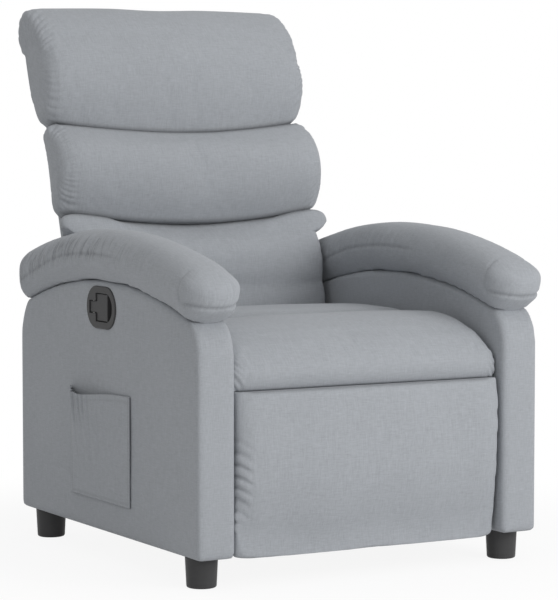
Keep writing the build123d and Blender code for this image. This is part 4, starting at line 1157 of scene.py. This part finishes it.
class RECLINER_OT_footrest(bpy.types.Operator):
    """Sew the footrest pad"""

    bl_idname = "recliner.footrest"
    bl_label = "Footrest Pad"

    def execute(self, context):
        piece = finer(even_grid("footrest_pad", "footrest_cushion"), rounds=2)
        store(piece.data, "seam", self.sewing(piece.data))
        dress(piece, woven_cloth("footrest_cloth"), "footrest", "footrest_pad")
        return {"FINISHED"}

    def side_gathers(self, places, height, outward):
        """Slanting gathers along the right edge as sat in, and a few faint ones along the left edge."""
        depth, pitch, slant, first_ridge, level = 0.005, 0.020, 0.6, 20, 0.45
        faint_depth, faint_pitch, faint_first, faint_level = 0.002, 0.04, 9, 0.5
        x, _, z = places.T
        right = (x < 0) * ramp(outward, 0.875, 0.95)
        ridges = gathers((z + slant * (x + REST_HIGH.x)) / pitch + first_ridge, 31)
        zone = ramp(height, 0.1, 0.25) * (1 - ramp(height, 0.62, 0.8))
        left = (x > 0) * ramp(outward, 0.9, 0.99)
        faint = gathers(z / faint_pitch + faint_first, 33)
        return depth * right * zone * (ridges - level) + faint_depth * left * (faint - faint_level)

    def sewing(self, mesh):
        """Forms the pad: gathers, a hem drawn in below and a flat top edge. Returns the seam's painted
        shade.
        """
        uneven, uneven_scale, spare_side = 0.0012, 0.22, 0.0022
        hem_drop, hem_press, taper, tuck = 0.005, 0.005, 0.010, 0.024
        places = points_of(mesh)
        height = (places[:, 2] - REST_LOW.z) / (REST_HIGH.z - REST_LOW.z)
        outward = np.abs(places[:, 0]) / REST_HIGH.x
        lift = self.side_gathers(places, height, outward)
        lift += uneven * drift(places, uneven_scale, 34)
        places = lifted(mesh, places, lift)
        places[:, 0] *= (REST_HIGH.x + spare_side) / np.abs(places[:, 0]).max()
        top, bottom = places[:, 2].max(), places[:, 2].min()
        hem = REST_LOW.z - hem_drop
        places[:, 2] = top - (top - places[:, 2]) * (top - hem) / (top - bottom)
        under = np.clip(1 - height / 0.5, 0, 1) ** 1.5
        places[:, 0] *= 1 - taper * under
        front = 1 - ramp(places[:, 1] - REST_LOW.y, 0.012, 0.030)
        places[:, 1] += tuck * under * front
        wall = PLEAT - SEAM_ROOM
        places[:, 2] = press(press(places[:, 2], wall, 1), hem, -1, hem_press)
        move_points(mesh, places)
        # Painted shade in the pleat under the seat's nose
        return front * pleat_shade(places[:, 2], wall, outward)


class RECLINER_OT_arm_covers(bpy.types.Operator):
    """Cover the two arms"""

    bl_idname = "recliner.arm_covers"
    bl_label = "Arm Covers"

    def execute(self, context):
        cloth = woven_cloth("arm_cloth")
        for side in ("left", "right"):
            piece = even_grid(f"{side}_arm_cover", f"{side}_arm_side")
            mesh = piece.data
            places = self.rounded_heels(points_of(mesh))
            move_points(mesh, lifted(mesh, places, self.fullness(mesh, places)))
            dress(piece, cloth, "base", f"{side}_arm_cover")
        return {"FINISHED"}

    def fullness(self, mesh, places):
        """A slight crown and unevenness of the flat sides, on the outer skin only."""
        crown, uneven, uneven_scale, skin_depth = 0.0012, 0.0009, 0.2, 0.003
        aside = np.abs(np.abs(places[:, 0]) - ARM_MIDDLE)
        skin = aside > (ARM_OUTER - ARM_INNER) / 2 - skin_depth
        flat = ramp(np.abs(normals_of(mesh)[:, 0]), 0.8, 0.95) * skin
        y = places[:, 1] - FRONT
        inset = np.minimum(np.minimum(y, ARM_DEPTH - y), places[:, 2] - ARM_FOOT)
        waves = uneven * drift(places, uneven_scale, 51) * ramp(inset, 0.01, 0.06)
        return (crown * ramp(inset, 0.0, 0.12) + waves) * flat

    def rounded_heels(self, places):
        """Rounds the lower corners at the front and the rear, as seen from the side."""
        y = places[:, 1] - FRONT
        inset = np.stack([np.minimum(y, ARM_DEPTH - y), places[:, 2] - ARM_FOOT])
        corner = np.maximum(ARM_HEEL - inset, 0)
        size = np.maximum(np.hypot(*corner), ARM_HEEL)
        back = corner * (1 - ARM_HEEL / size)
        rearward = np.where(y < ARM_DEPTH / 2, back[0], -back[0])
        return places + np.stack([np.zeros(len(places)), rearward, back[1]], axis=1)


class RECLINER_OT_arm_pads(bpy.types.Operator):
    """Sew the two rolled arm pads"""

    bl_idname = "recliner.arm_pads"
    bl_label = "Arm Pads"

    def execute(self, context):
        cloth = woven_cloth("pad_cloth")
        for side, sign, seed in (("left", 1, 41), ("right", -1, 43)):
            piece = filled(f"{side}_arm_pad", f"{side}_arm_roll", rounds=10)
            mesh = piece.data
            places = points_of(mesh)
            lift, seam, ruched = self.sewing(places, seed)
            move_points(mesh, lifted(mesh, places, lift) + self.slump(places, sign))
            store(mesh, "seam", seam)
            store(mesh, "ruche", ruched)
            dress(piece, cloth, "base", f"{side}_arm_pad")
        return {"FINISHED"}

    def slump(self, places, sign):
        """The nose droops and is tucked in below, and the back pushes the inner flank aside."""
        droop, tucked, pushed = 0.006, 0.014, 0.0095
        x, y, z = places.T
        ahead = 1 - ramp(y - FRONT, -0.012, 0.06)
        drop = droop * ahead * ramp(z, 0.50, 0.555)
        tuck = tucked * ahead * (1 - ramp(z, 0.452, 0.488))
        inner = (ARM_MIDDLE - np.abs(x)) / (ARM_MIDDLE - PAD_LOW.x)
        aside = pushed * ramp(inner, 0.2, 1.0) * ramp(y - FRONT, 0.38, 0.50)
        return np.stack([sign * aside, tuck, -drop], axis=1)

    def sewing(self, places, seed):
        """Long side seams, cross gathers above them and the seam round the nose: lift, painted shade,
        gathering.
        """
        look = bpy.context.scene.recliner_seams
        uneven, uneven_scale = 0.0012, 0.2
        y = places[:, 1] - FRONT
        z = places[:, 2]
        out = (np.abs(places[:, 0]) - ARM_MIDDLE) / (PAD_HIGH.x - ARM_MIDDLE)
        flank = ramp(np.abs(out), 0.45, 0.8)
        rise = z - arch(np.clip(y, 0.0, ARM_DEPTH))
        seam_rise = 0.048 - 0.016 * ramp(y, 0.5, 0.75)
        long_seam = hump(rise, seam_rise, 0.7 * look.width) * flank * ramp(y, 0.24, 0.36)

        slant, slant_from, wider, higher = 0.10, 0.05, 1.5, 1.5
        inner_share = 0.3
        wobble = 0.006 * np.sin(y * 23) + 0.004 * np.sin(y * 61 + 1)
        ridges = gathers((y + wobble + slant * (rise - slant_from)) / (wider * look.pitch), seed)
        upper = ramp(rise, seam_rise - 0.022, seam_rise + 0.004) * (1 - ramp(rise, 0.070, 0.098))
        rearward = ramp(y, 0.06, 0.2) * (0.3 + 0.7 * ramp(y, 0.22, 0.40))
        ruched = rearward * upper * flank * np.where(out > 0, 1.0, inner_share)
        lift = higher * look.gather * ruched * (ridges - 0.5)

        cap_at, pleat_depth, pleat_pitch, pleat_slant = 0.036, 0.0012, 0.009, 0.7
        nose_at = 0.487 + 0.012 * out**2
        nose = 1 - ramp(y, 0.012, 0.05)
        nose_seam = hump(z, nose_at, 0.8 * look.width) * nose
        above_nose = ramp(z, nose_at - 0.01, nose_at + 0.01)
        cap = hump(y, cap_at, 0.8 * look.width) * ramp(np.abs(out), 0.3, 0.7) * above_nose
        mushroom = nose * (0.004 * hump(z, nose_at + 0.03, 0.022) - 0.003 * hump(z, nose_at - 0.022, 0.02))
        pleats = gathers((places[:, 0] + y * pleat_slant) / pleat_pitch + 60, 47)
        near = hump(z, nose_at, 0.014) * nose
        lift += mushroom + pleat_depth * near * (pleats - 0.4)
        lift -= look.groove * (0.45 * long_seam + nose_seam + 0.6 * cap)
        lift += uneven * drift(places, uneven_scale, 45)
        # Painted shade along the long seams, the nose seam and the cap seam
        return lift, np.maximum(0.28 * long_seam, np.maximum(0.3 * nose_seam, 0.12 * cap)), ruched


class RECLINER_OT_side_pocket(bpy.types.Operator):
    """Sew the slack pocket on the right arm"""

    bl_idname = "recliner.side_pocket"
    bl_label = "Side Pocket"

    def execute(self, context):
        thickness, off_arm, mouth_sag, columns, rows = 0.0016, 0.0031, 0.010, 100, 80
        wide = POCKET_HIGH.y - POCKET_LOW.y
        tall = POCKET_HIGH.z - POCKET_LOW.z
        shape = bmesh.new()
        bmesh.ops.create_grid(shape, x_segments=columns, y_segments=rows, size=0.5)
        mesh = to_mesh(shape, "pocket_cloth")
        piece = new_piece("pocket_cloth", mesh)
        u, v, _ = points_of(mesh).T + 0.5
        bow = np.sin(np.pi * np.clip(u, 0, 1) ** 2.4)
        out, seam = self.sewing(u, v, bow, wide, tall)
        sag = mouth_sag * bow * ramp(v, 0.6, 1.0)
        x = -ARM_OUTER - off_arm - out
        move_points(mesh, np.stack([x, POCKET_LOW.y + u * wide, POCKET_LOW.z + v * tall - sag], axis=1))
        store(mesh, "seam", seam)
        thick = piece.modifiers.new("Cloth", "SOLIDIFY")
        thick.thickness = thickness
        thick.offset = 0.0
        settle(piece)
        dress(piece, woven_cloth("pocket_weave"), "base", "side_pocket")
        return {"FINISHED"}

    def sewing(self, u, v, bow, wide, tall):
        """How far the cloth stands off the arm, and its painted shade, from its place across (u) and up
        (v).
        """
        rest, slack = 0.0006, 0.0165
        fold_depth, fold_pitch, ripple_depth, ripple_pitch = 0.0068, 0.015, 0.0018, 0.03
        hem_at, hem_width, hem_draw = 0.945, 0.006, 0.0006
        stitch_inset, stitch_width, stitch_draw = 0.006, 0.0016, 0.0004
        out = rest + slack * bow * ramp(v, 0.02, 1.0) ** 1.2
        ridges = gathers(u * wide / fold_pitch + 11, 61)
        folded = ramp(v, 0.55, 0.95) * ramp(u, 0.55, 0.75) * (1 - ramp(u, 0.97, 1.0))
        out += fold_depth * folded * (ridges - 0.4)
        ripples = gathers(u * wide / ripple_pitch + 3, 62)
        out += ripple_depth * (ripples - 0.5) * ramp(v, 0.1, 0.6) * bow
        hem = hump(v, hem_at, hem_width)
        rim = np.minimum(np.minimum(u, 1 - u) * wide, v * tall)
        stitched = hump(rim, stitch_inset, stitch_width) * (v < 0.99)
        out -= hem_draw * hem + stitch_draw * stitched
        # Painted shade along the hem and stitch lines and in the valleys of the folds
        return out, np.maximum(0.3 * np.maximum(hem, stitched), 0.5 * folded * (1 - ridges) ** 3)


class RECLINER_OT_back_cover(bpy.types.Operator):
    """Cover the rear of the back"""

    bl_idname = "recliner.back_cover"
    bl_label = "Back Cover"

    def execute(self, context):
        flat_within, edge_round = math.radians(2), 0.0012
        shape = merged("back_panel")
        bmesh.ops.dissolve_limit(
            shape, angle_limit=flat_within, use_dissolve_boundaries=False,
            verts=shape.verts, edges=shape.edges,
        )
        bmesh.ops.recalc_face_normals(shape, faces=shape.faces)
        piece = new_piece("back_cover", to_mesh(shape, "back_cover"))
        edge = piece.modifiers.new("Edge", "BEVEL")
        edge.width = edge_round
        edge.segments = 3
        settle(piece)
        dress(piece, woven_cloth("rear_cloth", -BACK_LEAN), "back", "back_panel")
        return {"FINISHED"}


class RECLINER_PT_pieces(bpy.types.Panel):
    """Shows the recliner's settings and the buttons of its operators"""

    bl_idname = "RECLINER_PT_pieces"
    bl_label = "Recliner"
    bl_space_type = "VIEW_3D"
    bl_region_type = "UI"
    bl_category = "Recliner"

    def draw(self, context):
        for group in GROUPS:
            box = self.layout.box()
            holder = getattr(context.scene, group)
            for name in holder.bl_rna.properties.keys():
                if name not in ("rna_type", "name"):
                    box.prop(holder, name)
        for operator in OPERATORS:
            self.layout.operator(operator.bl_idname)


GROUPS = {
    "recliner_fabric": FabricLook,
    "recliner_stuffing": StuffingLook,
    "recliner_seams": SeamLook,
    "recliner_finish": FinishLook,
    "recliner_studio": StudioLook,
}
OPERATORS = (
    RECLINER_OT_stage,
    RECLINER_OT_hard_parts,
    RECLINER_OT_cut_covers,
    RECLINER_OT_back_pillows,
    RECLINER_OT_seat,
    RECLINER_OT_footrest,
    RECLINER_OT_arm_covers,
    RECLINER_OT_arm_pads,
    RECLINER_OT_side_pocket,
    RECLINER_OT_back_cover,
)


def register():
    """Makes the settings, operators and panel known to Blender."""
    for name, group in GROUPS.items():
        bpy.utils.register_class(group)
        setattr(bpy.types.Scene, name, PointerProperty(type=group))
    for operator in OPERATORS:
        bpy.utils.register_class(operator)
    bpy.utils.register_class(RECLINER_PT_pieces)


def unregister():
    """Takes them out again."""
    bpy.utils.unregister_class(RECLINER_PT_pieces)
    for operator in reversed(OPERATORS):
        bpy.utils.unregister_class(operator)
    for name, group in reversed(GROUPS.items()):
        delattr(bpy.types.Scene, name)
        bpy.utils.unregister_class(group)


def main():
    """Builds the chair's looks."""
    register()
    for operator in OPERATORS:
        family, name = operator.bl_idname.split(".")
        getattr(getattr(bpy.ops, family), name)()


if __name__ == "__main__":
    main()
